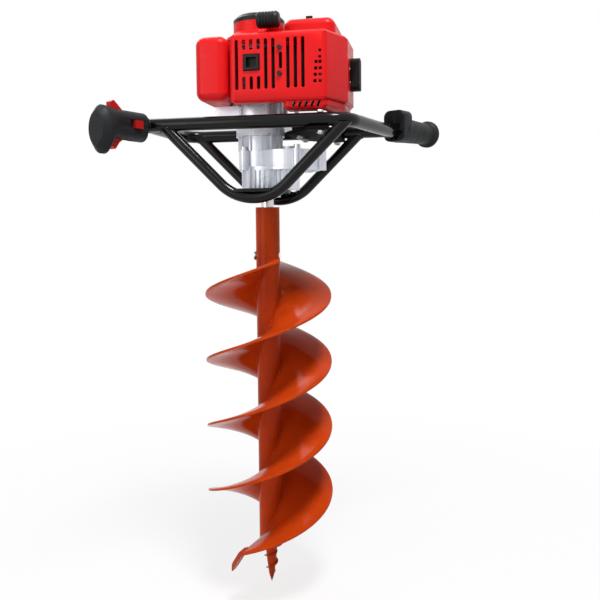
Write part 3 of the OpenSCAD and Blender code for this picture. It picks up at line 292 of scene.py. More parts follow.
FINISHES = (
    Finish("bit_paint", (0.5, 0.048, 0.0045), 0.16, Surface.PAINT, grain=420.0, relief=0.00005,
           mottle=0.14, worn=(0.25, 0.07, 0.03), wear=0.4, specular=0.07),
    Finish("cutter_steel", (0.42, 0.05, 0.01), 0.4, Surface.PAINT, grain=420.0, mottle=0.3,
           worn=(0.3, 0.2, 0.16), wear=0.8, specular=0.2),
    Finish("bright_steel", (0.66, 0.66, 0.67), 0.28, Surface.MACHINED, metallic=1.0, grain=700.0,
           relief=0.00002),
    Finish("gear_steel", (0.2, 0.2, 0.21), 0.42, Surface.MACHINED, metallic=1.0, grain=700.0,
           relief=0.00003),
    # Muffler steel: near-black partly as heat stain and partly as painted shade, darkening what
    # shows through the cover's slots.
    Finish("gear_steel", (0.012, 0.01, 0.009), 0.75, Surface.CAST, metallic=0.2, mottle=0.4,
           specular=0.2, name="scorched_and_shaded_steel"),
    Finish("gear_steel", (0.012, 0.012, 0.013), 0.4, Surface.MACHINED, metallic=0.6,
           name="black_oxide"),
    Finish("cast_alloy", (0.85, 0.88, 0.95), 0.34, Surface.CAST, metallic=0.4, grain=1500.0,
           relief=0.00003, mottle=0.05, edge=0.0006),
    Finish("frame_paint", (0.004, 0.004, 0.0045), 0.16, Surface.PAINT, grain=380.0, relief=0.00002,
           mottle=0.15, coat=0.06, specular=0.18),
    Finish("frame_paint", (0.004, 0.004, 0.0045), 0.7, Surface.PAINT, grain=380.0, mottle=0.15,
           specular=0.05, name="matt_black"),
    Finish("cover_red", (0.72, 0.009, 0.011), 0.34, Surface.MOULDED, grain=1100.0, relief=0.00001,
           mottle=0.03, edge=0.0008, specular=0.16),
    Finish("black_plastic", (0.007, 0.007, 0.0075), 0.42, Surface.MOULDED, grain=1500.0,
           edge=0.0009, specular=0.2),
    Finish("handle_grey", (0.015, 0.016, 0.018), 0.52, Surface.MOULDED, grain=1300.0,
           relief=0.00006, edge=0.0012, specular=0.15),
    Finish("control_red", (0.5, 0.014, 0.012), 0.36, Surface.MOULDED, grain=1200.0, relief=0.00002,
           mottle=0.08, specular=0.2),
    Finish("black_rubber", (0.008, 0.008, 0.008), 0.66, Surface.MOULDED, grain=1700.0,
           relief=0.00006, specular=0.14),
    Finish("plug_white", (0.78, 0.78, 0.76), 0.2, Surface.PAINT, grain=300.0, mottle=0.03),
    Finish("pulley_nylon", (0.7, 0.7, 0.67), 0.5, Surface.MOULDED, mottle=0.04),
    Finish("filter_foam", (0.5, 0.42, 0.2), 0.9, Surface.FOAM, grain=1200.0, relief=0.0006),
)
# The muffler's dark finish is partly heat stain and partly painted shade for the inside of the
# cover's slots.
SPECIAL_FINISH = {
    "muffler": "scorched_and_shaded_steel", "case_screws": "black_oxide", "mount_plate": "matt_black",
}


def linked(name: str, data: bpy.types.ID) -> Object:
    """Puts a new object into the scene.

    Args:
        name: Name of the object.
        data: Mesh, light or camera that it shows.

    Returns:
        The object.
    """
    obj = bpy.data.objects.new(name, data)
    bpy.context.scene.collection.objects.link(obj)
    return obj


def shaded(bm: bmesh.types.BMesh, name: str, smooth: float) -> Object:
    """Makes a smoothly shaded object of a bmesh.

    Args:
        bm: The mesh, freed here.
        name: Name of the object.
        smooth: Edges that turn by more degrees stay sharp.

    Returns:
        The object.
    """
    mesh = bpy.data.meshes.new(name)
    bm.to_mesh(mesh)
    bm.free()
    mesh.shade_smooth()
    mesh.set_sharp_from_angle(angle=math.radians(smooth))
    return linked(name, mesh)


def evaluated(obj: Object) -> bpy.types.Mesh:
    """Returns an object's mesh as its modifiers leave it."""
    graph = bpy.context.evaluated_depsgraph_get()
    return bpy.data.meshes.new_from_object(obj.evaluated_get(graph))


def object_from(bm: bmesh.types.BMesh, name: str) -> Object:
    """Welds a bmesh, turns its faces outward and makes an object of it.

    Args:
        bm: The mesh, freed here.
        name: Name of the object.

    Returns:
        The object, at the origin.
    """
    bmesh.ops.remove_doubles(bm, verts=bm.verts, dist=MERGE)
    bmesh.ops.recalc_face_normals(bm, faces=bm.faces)
    return shaded(bm, name, SMOOTH_DEGREES)


def bridge(bm: bmesh.types.BMesh, rings: Sequence[Ring]) -> None:
    """Skins closed rings of equal length one after the other and caps both ends.

    Args:
        bm: Mesh that takes the skin.
        rings: The rings in order.
    """
    rows = [[bm.verts.new(p) for p in ring] for ring in rings]
    count = len(rows[0])
    for low, high in zip(rows, rows[1:]):
        for i in range(count):
            j = (i + 1) % count
            bm.faces.new((low[i], low[j], high[j], high[i]))
    bm.faces.new(rows[0][::-1])
    bm.faces.new(rows[-1])


def around(radius: float, angle: float, height: float) -> Vector:
    """Returns the point at a radius, an angle and a height round the Z axis."""
    return Vector((radius * math.cos(angle), radius * math.sin(angle), height))


def turned(bm: bmesh.types.BMesh, profile: Sequence[Span], place: Matrix, steps: int = 64) -> None:
    """Turns a profile round local Z.

    Args:
        bm: Mesh that takes the shape.
        profile: Radius and height of each point, from one end to the other.
        place: Where the local frame stands.
        steps: Facets round the axis.
    """
    angles = [2 * math.pi * i / steps for i in range(steps)]
    bridge(bm, [[place @ around(radius, a, height) for a in angles] for radius, height in profile])


def new_tree(title: str, inputs: Iterable[tuple[str, str, float | None]], output: str) -> Tree:
    """Makes a Geometry Nodes tree with named inputs and no nodes yet.

    Args:
        title: Name of the tree.
        inputs: Name, kind and default of each input; None where it has no default.
        output: Name of the geometry that the tree gives.

    Returns:
        The tree.
    """
    tree = bpy.data.node_groups.new(title, "GeometryNodeTree")
    for name, kind, value in inputs:
        socket = tree.interface.new_socket(name, in_out="INPUT", socket_type="NodeSocket" + kind)
        if value is not None:
            socket.default_value = value
    tree.interface.new_socket(output, in_out="OUTPUT", socket_type="NodeSocketGeometry")
    return tree


def wire(tree: Tree, routes: Iterable[Route]) -> None:
    """Links nodes of a tree along routes from a node's output to a node's input."""
    for giver, given, taker, taken in routes:
        tree.links.new(giver.outputs[given], taker.inputs[taken])


class BeadTree:
    """Geometry Nodes tree that lays a rippled weld bead along a path."""

    SEGMENTS, RINGS = 10, 6
    FLATNESS = 0.8
    PITCH_SHARE = 0.95

    def __init__(self) -> None:
        """Builds the tree with its named inputs."""
        inputs = (
            ("Path", "Geometry", None), ("Bead radius", "Float", 1.6 * MM),
            ("Ripple pitch", "Float", 1.5 * MM), ("Wander", "Float", 0.15), ("Seed", "Int", 7),
            ("Finish", "Material", None),
        )
        self.tree = new_tree("weld_bead", inputs, "Bead")
        self._wire()

    def _wire(self) -> None:
        """Links the nodes: path to points, a flattened ball on each, one mesh with its finish."""
        new = self.tree.nodes.new
        source, sink = new("NodeGroupInput"), new("NodeGroupOutput")
        curve = new("GeometryNodeMeshToCurve")
        points = new("GeometryNodeCurveToPoints")
        points.mode = "LENGTH"
        ball = new("GeometryNodeMeshUVSphere")
        ball.inputs["Segments"].default_value = self.SEGMENTS
        ball.inputs["Rings"].default_value = self.RINGS
        drift = new("FunctionNodeRandomValue")
        low, high = new("ShaderNodeMath"), new("ShaderNodeMath")
        low.operation, high.operation = "SUBTRACT", "ADD"
        low.inputs[0].default_value = high.inputs[0].default_value = 1.0
        shape = new("ShaderNodeCombineXYZ")
        shape.inputs["Z"].default_value = self.FLATNESS
        place = new("GeometryNodeInstanceOnPoints")
        real = new("GeometryNodeRealizeInstances")
        smooth = new("GeometryNodeSetShadeSmooth")
        paint = new("GeometryNodeSetMaterial")
        wire(self.tree, (
            (source, "Path", curve, "Mesh"), (curve, "Curve", points, "Curve"),
            (source, "Ripple pitch", points, "Length"), (source, "Bead radius", ball, "Radius"),
            (source, "Wander", low, 1), (source, "Wander", high, 1),
            (source, "Seed", drift, "Seed"), (low, "Value", drift, 2), (high, "Value", drift, 3),
            (drift, 1, shape, "X"), (drift, 1, shape, "Y"), (shape, "Vector", place, "Scale"),
            (points, "Points", place, "Points"), (points, "Rotation", place, "Rotation"),
            (ball, "Mesh", place, "Instance"), (place, "Instances", real, "Geometry"),
            (real, "Geometry", smooth, "Geometry"), (smooth, "Geometry", paint, "Geometry"),
            (source, "Finish", paint, "Material"), (paint, "Geometry", sink, "Bead"),
        ))

    def lay(self, name: str, paths: Sequence[Path], radius: float, material: Material) -> Object:
        """Lays one bead object along one or more paths.

        Args:
            name: Name of the piece.
            paths: Points of each path.
            radius: Radius of the bead in metres.
            material: Finish of the bead.

        Returns:
            A plain mesh object.
        """
        mesh = bpy.data.meshes.new(name + "_path")
        verts: list[Vector] = []
        edges: list[tuple[int, int]] = []
        for path in paths:
            first = len(verts)
            verts.extend(path)
            edges.extend((first + i, first + i + 1) for i in range(len(path) - 1))
        mesh.from_pydata([tuple(v) for v in verts], edges, [])
        pitch = self.PITCH_SHARE * radius
        values = {"Bead radius": radius, "Ripple pitch": pitch, "Finish": material}
        return baked(self.tree, mesh, name, values)


class StampTree:
    """Geometry Nodes tree that sets one stamp on every spot, posed by the spot's own attribute."""

    def __init__(self) -> None:
        """Builds the tree with its named inputs."""
        inputs = (
            ("Spots", "Geometry", None), ("Stamp", "Object", None), ("Turn spread", "Float", 0.0),
            ("Seed", "Int", 3), ("Finish", "Material", None),
        )
        self.tree = new_tree("stamps", inputs, "Stamps")
        self._wire()

    def _wire(self) -> None:
        """Links the nodes: spots to posed and turned instances, then one mesh with its finish."""
        new = self.tree.nodes.new
        source, sink = new("NodeGroupInput"), new("NodeGroupOutput")
        pose = new("GeometryNodeInputNamedAttribute")
        pose.data_type = "FLOAT_VECTOR"
        pose.inputs["Name"].default_value = "pose"
        turn = new("FunctionNodeEulerToRotation")
        shape = new("GeometryNodeObjectInfo")
        place = new("GeometryNodeInstanceOnPoints")
        drift = new("FunctionNodeRandomValue")
        spin = new("ShaderNodeCombineXYZ")
        own_turn = new("GeometryNodeRotateInstances")
        real = new("GeometryNodeRealizeInstances")
        paint = new("GeometryNodeSetMaterial")
        wire(self.tree, (
            (pose, "Attribute", turn, "Euler"), (source, "Stamp", shape, "Object"),
            (source, "Spots", place, "Points"), (shape, "Geometry", place, "Instance"),
            (turn, "Rotation", place, "Rotation"), (source, "Turn spread", drift, 3),
            (source, "Seed", drift, "Seed"), (drift, 1, spin, "Z"),
            (place, "Instances", own_turn, "Instances"), (spin, "Vector", own_turn, "Rotation"),
            (own_turn, "Instances", real, "Geometry"), (real, "Geometry", paint, "Geometry"),
            (source, "Finish", paint, "Material"), (paint, "Geometry", sink, "Stamps"),
        ))

    def press(
        self, name: str, stamp: Object, spots: Sequence[Spot], material: Material,
        spread: float = 0.0,
    ) -> Object:
        """Sets the stamp on all spots and takes the stamp itself away.

        Args:
            name: Name of the piece.
            stamp: Object that is repeated.
            spots: Place and Euler angles of each copy.
            material: Finish of the copies.
            spread: Largest random turn about the copy's own axis, in radians.

        Returns:
            A plain mesh object.
        """
        mesh = bpy.data.meshes.new(name + "_spots")
        mesh.from_pydata([tuple(place) for place, _ in spots], [], [])
        pose = mesh.attributes.new("pose", "FLOAT_VECTOR", "POINT")
        for item, (_, angles) in zip(pose.data, spots):
            item.vector = angles
        values = {"Stamp": stamp, "Turn spread": spread, "Finish": material}
        piece = baked(self.tree, mesh, name, values)
        bpy.data.objects.remove(stamp)
        return piece


def baked(tree: Tree, mesh: bpy.types.Mesh, name: str, values: dict[str, object]) -> Object:
    """Runs a Geometry Nodes tree on a mesh and keeps the result as a plain mesh.

    Args:
        tree: The tree.
        mesh: Mesh that the tree starts from.
        name: Name of the finished piece.
        values: Input values by the inputs' names.

    Returns:
        The finished object, with no modifier.
    """
    carrier = linked(name + "_carrier", mesh)
    modifier = carrier.modifiers.new("build", "NODES")
    modifier.node_group = tree
    for item in tree.interface.items_tree:
        if item.item_type == "SOCKET" and item.in_out == "INPUT" and item.name in values:
            modifier[item.identifier] = values[item.name]
    result = evaluated(carrier)
    bpy.data.objects.remove(carrier)
    result.name = name
    return linked(name, result)


@dataclass
class Kit:
    """What every sub-assembly needs: the materials by name and the shared node trees."""

    finishes: dict[str, Material]
    bead: BeadTree
    stamps: StampTree

    def place(self, piece: Object, body: str, slot: str, *nodes: str) -> None:
        """Gives a piece its finish, its body and the nodes that it stands for.

        Args:
            piece: The piece.
            body: Body that it rides on.
            slot: Material slot of its finish.
            nodes: CAD nodes that it replaces.
        """
        if not piece.data.materials:
            piece.data.materials.append(self.finishes[slot])
        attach(piece, body)
        if nodes:
            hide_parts(*nodes)
        LOG.info("%s rides on %s, %d faces", piece.name, body, len(piece.data.polygons))


@dataclass
class AugerBit:
    """The double-start bit: flights, their welds, the cutters' welds and the pilot screw.

    The thread's low, rise and lead are shares of the pilot's length, its root and top of the core.
    """

    tube_radius: float = 19 * MM
    flight_radius: float = 100 * MM
    flight_lead: float = 209 * MM
    flight_length: float = 440 * MM
    flight_plate: float = 4 * MM
    flight_low: float = 84 * MM
    flight_angle: float = math.radians(76)
    flight_steps: int = 360
    section_steps: int = 8
    rim_width: float = 1.2 * MM
    rim_round: float = 0.35 * MM
    plate_gap: float = 0.1 * MM
    weld_lift: float = 0.4 * MM
    weld_out: float = 0.8 * MM
    flight_bead: float = 1.7 * MM
    cutter_bead: float = 1.4 * MM
    cutter_root: float = 78 * MM
    cutter_width: float = 19 * MM
    seam_steps: int = 12
    pilot_length: float = 69 * MM
    pilot_core: float = 9 * MM
    pilot_point: float = 0.2 * MM
    pilot_taper: tuple[Span, ...] = ((0.28, 0.1), (0.5, 0.2), (0.8, 0.5), (1.0, 0.75))
    collar_height: float = 6 * MM
    collar_flare: Span = (2 * MM, 1 * MM)
    collar_chamfer: Span = (0.6 * MM, 0.8 * MM)
    thread_radius: float = 13 * MM
    thread_low: float = 0.16
    thread_rise: float = 0.6
    thread_lead: float = 0.29
    thread_root: Span = (0.27, 0.54)
    thread_top: float = 0.9
    thread_half: float = 1.5 * MM
    thread_foot: float = 1.3
    thread_crest: float = 0.35
    thread_least: float = 0.35
    thread_fade: float = 0.08
    thread_steps: int = 120

    def build(self, kit: Kit) -> None:
        """Builds all pieces of the bit.

        Args:
            kit: Finishes and shared trees.
        """
        paint = kit.finishes["bit_paint"]
        for letter, turn in (("a", 0.0), ("b", math.pi)):
            plate = self._flight(f"flight_plate_{letter}", turn)
            kit.place(plate, "bit", "bit_paint", f"flight_{letter}")
            lifts = (-self.weld_lift, self.flight_plate + self.weld_lift)
            paths = [self._helix(turn, self.tube_radius + self.weld_out, lift) for lift in lifts]
            bead = kit.bead.lay(f"flight_weld_{letter}", paths, self.flight_bead, paint)
            kit.place(bead, "bit", "bit_paint")
        paths = [path for turn in (0.0, math.pi) for path in self._cutter_seams(turn)]
        kit.place(kit.bead.lay("cutter_welds", paths, self.cutter_bead, paint), "bit", "bit_paint")
        kit.place(self._pilot(), "bit", "bit_paint", "pilot_screw")

    def _climbs(self) -> list[float]:
        """Returns the heights of the steps up a flight."""
        return [self.flight_length * i / self.flight_steps for i in range(self.flight_steps + 1)]

    def _angle(self, climb: float, turn: float) -> float:
        """Returns the angle at which a flight has climbed a given height."""
        return self.flight_angle + turn + 2 * math.pi * climb / self.flight_lead

    def _helix(self, turn: float, radius: float, lift: float) -> list[Vector]:
        """Returns points along a flight at a radius, lifted from the flight's lower face."""
        low, climbs = self.flight_low, self._climbs()
        return [around(radius, self._angle(up, turn), low + up + lift) for up in climbs]

    def _cutter_seams(self, turn: float) -> list[list[Vector]]:
        """Draws the two seams between a cutter and the flight's lower end.

        Args:
            turn: Angle of the flight's start.

        Returns:
            The points of each seam.
        """
        lift = Matrix.Translation((0.0, 0.0, self.flight_low))
        place = lift @ Matrix.Rotation(self.flight_angle + turn, 4, "Z")
        steps = self.seam_steps
        reach = [self.cutter_root + self.cutter_width * i / steps for i in range(steps + 1)]
        return [[place @ Vector((x, 0.0, z)) for x in reach] for z in (0.0, self.flight_plate)]

    def _flight(self, name: str, turn: float) -> Object:
        """Sweeps the flight's section, with a rolled outer edge, up its helix.

        Args:
            name: Name of the piece.
            turn: Angle of the flight's start.

        Returns:
            The flight.
        """
        inner, outer = self.tube_radius + self.plate_gap, self.flight_radius
        plate, steps, soft = self.flight_plate, self.section_steps, self.rim_round
        width = outer - self.rim_width - inner
        across = [inner + width * i / steps for i in range(steps + 1)]
        rim = [(outer - soft, soft), (outer, plate / 2), (outer - soft, plate - soft)]
        section = [(r, 0.0) for r in across] + rim + [(r, plate) for r in reversed(across)]
        rings = []
        for climb in self._climbs():
            a, base = self._angle(climb, turn), self.flight_low + climb
            rings.append([around(r, a, base + z) for r, z in section])
        bm = bmesh.new()
        bridge(bm, rings)
        return object_from(bm, name)

    def _pilot(self) -> Object:
        """Builds a tapered core with a collar and a coarse tapered thread.

        Returns:
            The pilot screw.
        """
        length, core, tube = self.pilot_length, self.pilot_core, self.tube_radius
        seat = length - self.collar_height
        flare, chamfer = self.collar_flare, self.collar_chamfer
        profile = [(self.pilot_point, 0.0)]
        profile += [(core * wide, length * high) for wide, high in self.pilot_taper]
        profile += [(core, seat - flare[1]), (core + flare[0], seat)]
        profile += [(tube - chamfer[0], seat), (tube, seat + chamfer[1]), (tube, length)]
        bm = bmesh.new()
        turned(bm, profile, Matrix.Identity(4))
        bridge(bm, [self._thread(i / self.thread_steps) for i in range(self.thread_steps + 1)])
        return object_from(bm, "pilot_tip")

    def _thread(self, share: float) -> Ring:
        """Shapes the thread's section, which fades at both ends.

        Args:
            share: Share of the way up the thread.

        Returns:
            The section's corners.
        """
        core, first = self.pilot_core, self.thread_top * self.pilot_core
        fade = min(1.0, share / self.thread_fade, (1.0 - share) / self.thread_fade)
        a = 2 * math.pi * self.thread_rise * share / self.thread_lead
        root = core * (self.thread_root[0] + self.thread_root[1] * share)
        tip = root + fade * (first + (self.thread_radius - first) * share - root)
        base = self.pilot_length * (self.thread_low + self.thread_rise * share) + self.thread_half
        half = self.thread_half * max(self.thread_least, fade)
        foot, crest = half * self.thread_foot, half * self.thread_crest
        section = ((root, -foot), (tip, -crest), (tip, crest), (root, foot))
        return [around(r, a, base + z) for r, z in section]


@dataclass
class Skins:
    """Copies of moulded and cast solids, shaded smooth where their curves come as facets."""

    nodes: tuple[str, ...] = (
        "fuel_tank", "cylinder_shroud", "engine_cover", "lower_cover", "muffler", "filter_case",
        "filter_cover", "throttle_shell_inner", "throttle_shell_outer", "right_grip", "plug_cap",
    )
    angle: float = 34.0
    merge: float = 2 * MERGE
    face_weight: int = 100

    def build(self, kit: Kit, bodies: dict[str, str], slots: dict[str, str]) -> None:
        """Makes a welded copy of each node's mesh with normals weighted by face area.

        Args:
            kit: Finishes and shared trees.
            bodies: Body of each node.
            slots: Material slot of each node.
        """
        for node in self.nodes:
            piece = self._welded(node)
            piece.data.materials.append(kit.finishes[SPECIAL_FINISH.get(node, slots[node])])
            kit.place(piece, bodies[node], slots[node], node)

    def _welded(self, node: str) -> Object:
        """Welds a copy of a node's mesh.

        Args:
            node: Name of the node.

        Returns:
            The smoothly shaded copy, with no material.
        """
        bm = bmesh.new()
        bm.from_mesh(frame["nodes"][node].data)
        bmesh.ops.remove_doubles(bm, verts=bm.verts, dist=self.merge)
        piece = shaded(bm, node + "_raw", self.angle)
        weighted = piece.modifiers.new("weighted", "WEIGHTED_NORMAL")
        weighted.keep_sharp = True
        weighted.weight = self.face_weight
        skin = evaluated(piece)
        piece.modifiers.clear()
        piece.data = skin
        piece.name = skin.name = node + "_skin"
        skin.materials.clear()
        return piece


@dataclass
class FrameWelds:
    """Weld beads where the tubes of the handle frame meet."""

    height: float = 729.45 * MM
    half: float = 84 * MM
    tube_radius: float = 10 * MM
    hoop_radius: float = 8.5 * MM
    hoop_bend: float = 70 * MM
    hoop_low: float = 618.95 * MM
    corner_radius: float = 35 * MM
    right_corner: Span = (138 * MM, math.radians(73.7398))
    left_corner: Span = (165 * MM, math.radians(90.0))
    corner_steps: int = 16
    past_joint: float = 15 * MM
    end_gap: float = 12 * MM
    leg_start: float = 50 * MM
    bead_radius: float = 1.5 * MM
    ring_steps: int = 40
    search: float = 0.12
    search_steps: int = 240

    def build(self, kit: Kit) -> None:
        """Lays the beads of the hoops and of the two tube ends as one piece.

        Args:
            kit: Finishes and shared trees.
        """
        half_turn = Matrix.Rotation(math.pi, 4, "Z")
        front = self._tube(self.right_corner, self.left_corner)
        rear = [half_turn @ p for p in self._tube(self.left_corner, self.right_corner)]
        paths = []
        for side in (-1, 1):
            paths.append(self._hoop_ring(side, front, Matrix.Identity(4)))
            paths.append(self._hoop_ring(side, rear, half_turn))
        paths.append(self._ring(front[0], Vector((-1, 0, 0)), self.tube_radius, rear))
        paths.append(self._ring(rear[0], Vector((1, 0, 0)), self.tube_radius, front))
        bead = kit.bead.lay("frame_welds", paths, self.bead_radius, kit.finishes["frame_paint"])
        kit.place(bead, "machine", "frame_paint")

    def _joint(self, corner: Span) -> float:
        """Returns how far out the cross run of a corner passes the other tube."""
        return corner[0] + 2 * self.half * math.cos(corner[1]) / math.sin(corner[1])

    def _tube(self, corner: Span, other: Span) -> list[Vector]:
        """Draws the centreline of a frame tube as a polyline, for the front tube's place.

        Args:
            corner: Distance and turn of the tube's own corner.
            other: Distance and turn of the corner of the tube that it butts against.

        Returns:
            The polyline's points.
        """
        far, turn = corner
        tangent = self.corner_radius * math.tan(turn / 2)
        points = [Vector((-self._joint(other) + self.end_gap, -self.half, self.height))]
        for i in range(self.corner_steps + 1):
            a = turn * i / self.corner_steps
            x = far - tangent + self.corner_radius * math.sin(a)
            y = -self.half + self.corner_radius * (1 - math.cos(a))
            points.append(Vector((x, y, self.height)))
        end = 2 * self.half / math.sin(turn) + self.past_joint
        x, y = far + end * math.cos(turn), -self.half + end * math.sin(turn)
        points.append(Vector((x, y, self.height)))
        return points

    def _hoop_ring(self, side: int, tube: Path, place: Matrix) -> Ring:
        """Finds where one leg of a hoop meets its frame tube.

        Args:
            side: -1 for the leg at -X before it is placed, 1 for the other.
            tube: Centreline of the frame tube.
            place: Turn of the hoop about the bit's axis.

        Returns:
            The closed ring of meeting points.
        """
        out = math.sin(math.pi / 4)
        foot = self.hoop_bend * out
        rise = self.hoop_bend * (1 - out)
        high = self.hoop_low + rise + self.leg_start
        start = Vector((side * (foot + self.leg_start), -self.half, high))
        heading = Vector((side * out, 0.0, out))
        return self._ring(place @ start, place.to_3x3() @ heading, self.hoop_radius, tube)

    def _ring(self, start: Vector, heading: Vector, radius: float, tube: Path) -> Ring:
        """Runs lines along a branch tube's wall until they reach another tube.

        Args:
            start: Point on the branch tube's axis, outside the other tube.
            heading: Direction of the branch tube towards the other one.
            radius: Radius of the branch tube.
            tube: Centreline of the other tube.

        Returns:
            The closed ring of meeting points.
        """
        side = heading.orthogonal().normalized()
        up = heading.cross(side)
        ring = []
        for i in range(self.ring_steps + 1):
            a = 2 * math.pi * i / self.ring_steps
            base = start + radius * (math.cos(a) * side + math.sin(a) * up)
            reach = self._first_hit(base, heading, tube)
            if reach is not None:
                ring.append(base + heading * reach)
        return ring

    def _first_hit(self, base: Vector, heading: Vector, tube: Path) -> float | None:
        """Follows a line until it enters a tube.

        Args:
            base: Start of the line.
            heading: Direction of the line.
            tube: Centreline of the tube.

        Returns:
            How far the line runs, or None if it passes by.
        """
        for i in range(self.search_steps):
            reach = self.search * i / self.search_steps
            if self._distance(base + heading * reach, tube) <= self.tube_radius:
                return reach
        return None

    def _distance(self, point: Vector, tube: Path) -> float:
        """Measures how far a point is from a polyline.

        Args:
            point: The point.
            tube: Points of the polyline.

        Returns:
            The distance.
        """
        best = math.inf
        for a, b in zip(tube, tube[1:]):
            run = b - a
            share = max(0.0, min(1.0, (point - a).dot(run) / run.length_squared))
            best = min(best, (point - a - run * share).length)
        return best


@dataclass
class GearCase:
    """Cast stiffening ribs round the front of the lower gear case."""

    wall_radius: float = 36.3 * MM
    rib_depth: float = 3.4 * MM
    rib_width: float = 2.4 * MM
    rib_root: float = 1.0 * MM
    rib_levels: tuple[Span, ...] = ((0.0, 0.35), (0.12, 0.85), (0.25, 1.0), (1.0, 1.0))
    rib_foot: float = 1.25
    rib_shoulder: float = 0.8
    rib_crest: float = 0.55
    low: float = 633.5 * MM
    high: float = 662.4 * MM
    first: float = math.radians(254)
    step: float = math.radians(11)
    count: int = 7

    def build(self, kit: Kit) -> None:
        """Sets the ribs on the case wall.

        Args:
            kit: Finishes and shared trees.
        """
        spots = []
        for i in range(self.count):
            a = self.first + i * self.step
            spots.append((around(self.wall_radius, a, self.low), (0.0, 0.0, a)))
        ribs = kit.stamps.press("case_ribs", self._rib(), spots, kit.finishes["cast_alloy"])
        kit.place(ribs, "machine", "cast_alloy")

    def _rib(self) -> Object:
        """Makes one drafted rib with a sloping foot, standing out along local X.

        Returns:
            The rib.
        """
        half, tall, depth = self.rib_width / 2, self.high - self.low, self.rib_depth
        rings = []
        for share, out in self.rib_levels:
            z, x = share * tall, out * depth
            right = [(-self.rib_root, half * self.rib_foot), (x * self.rib_shoulder, half)]
            right.append((x, half * self.rib_crest))
            outline = [(a, -b) for a, b in right] + right[::-1]
            rings.append([Vector((a, b, z)) for a, b in outline])
        bm = bmesh.new()
        bridge(bm, rings)
        return object_from(bm, "rib_stamp")


@dataclass
class FrameBolts:
    """Flanged hexagon bolts and nuts that hold the mount plate to the frame and the dampers."""

    head_radius: float = 5 * MM
    head_height: float = 4 * MM
    nut_radius: float = 5.5 * MM
    nut_height: float = 5 * MM
    head_steps: int = 32
    stem_steps: int = 24
    stem_radius: float = 3 * MM
    stem_show: float = 0.9 * MM
    stem_sunk: float = 1 * MM
    stem_chamfer: float = 0.4 * MM
    chamfer: float = 0.6 * MM
    flange_height: float = 1.2 * MM
    flange_rim: Span = (0.3 * MM, 0.7 * MM)
    flange_top: float = 0.8
    head_hexagon: float = 0.9
    head_top: float = 0.86
    nut_top: float = 0.88
    nut_seat: float = 714.35 * MM
    frame_seat: Point = (100 * MM, 84 * MM, 739.5 * MM)
    damper_seat: Point = (58 * MM, 24 * MM, 733.45 * MM)

    def build(self, kit: Kit) -> None:
        """Sets heads and nuts on all four bolts, each group one piece.

        Args:
            kit: Finishes and shared trees.
        """
        steel = kit.finishes["bright_steel"]
        spots = (self.frame_seat, self.damper_seat)
        seats = [Vector((x, s * y, z)) for x, y, z in spots for s in (-1, 1)]
        heads = [(seat, (0.0, 0.0, 0.0)) for seat in seats]
        nuts = [(Vector((seat.x, seat.y, self.nut_seat)), (math.pi, 0.0, 0.0)) for seat in seats]
        turn = math.pi / 3
        piece = kit.stamps.press("bolt_heads", self._head(), heads, steel, turn)
        kit.place(piece, "machine", "bright_steel", "frame_bolts")
        piece = kit.stamps.press("bolt_nuts", self._nut(), nuts, steel, turn)
        kit.place(piece, "machine", "bright_steel")

    def _hexagon(self, radius: float, height: float) -> Ring:
        """Returns a hexagon's corners at a height."""
        return [around(radius, math.pi * i / 3, height) for i in range(6)]

    def _head(self) -> Object:
        """Makes a flanged hexagon head on its seat, with a chamfered top.

        Returns:
            The head.
        """
        bm = bmesh.new()
        wide, flat, top = self.head_radius, self.flange_height, self.head_height
        soft, high = self.flange_rim
        flange = [(wide - soft, 0.0), (wide, soft), (wide, high), (wide * self.flange_top, flat)]
        turned(bm, flange + [(self.stem_radius, flat)], Matrix.Identity(4), self.head_steps)
        corner = wide * self.head_hexagon
        rows = [self._hexagon(corner, self.chamfer), self._hexagon(corner, top - self.chamfer)]
        bridge(bm, rows + [self._hexagon(corner * self.head_top, top)])
        return object_from(bm, "head_stamp")

    def _nut(self) -> Object:
        """Makes a chamfered nut on its seat with the bolt's rounded end standing out.

        Returns:
            The nut.
        """
        bm = bmesh.new()
        corner, tall = self.nut_radius, self.nut_height
        small, edge = corner * self.nut_top, self.chamfer
        levels = ((small, 0.0), (corner, edge), (corner, tall - edge), (small, tall))
        bridge(bm, [self._hexagon(radius, height) for radius, height in levels])
        stem, tip, edge = self.stem_radius, tall + self.stem_show, self.stem_chamfer
        end = [(stem, tall - self.stem_sunk), (stem, tip - edge), (stem - edge, tip)]
        turned(bm, end, Matrix.Identity(4), self.stem_steps)
        return object_from(bm, "nut_stamp")


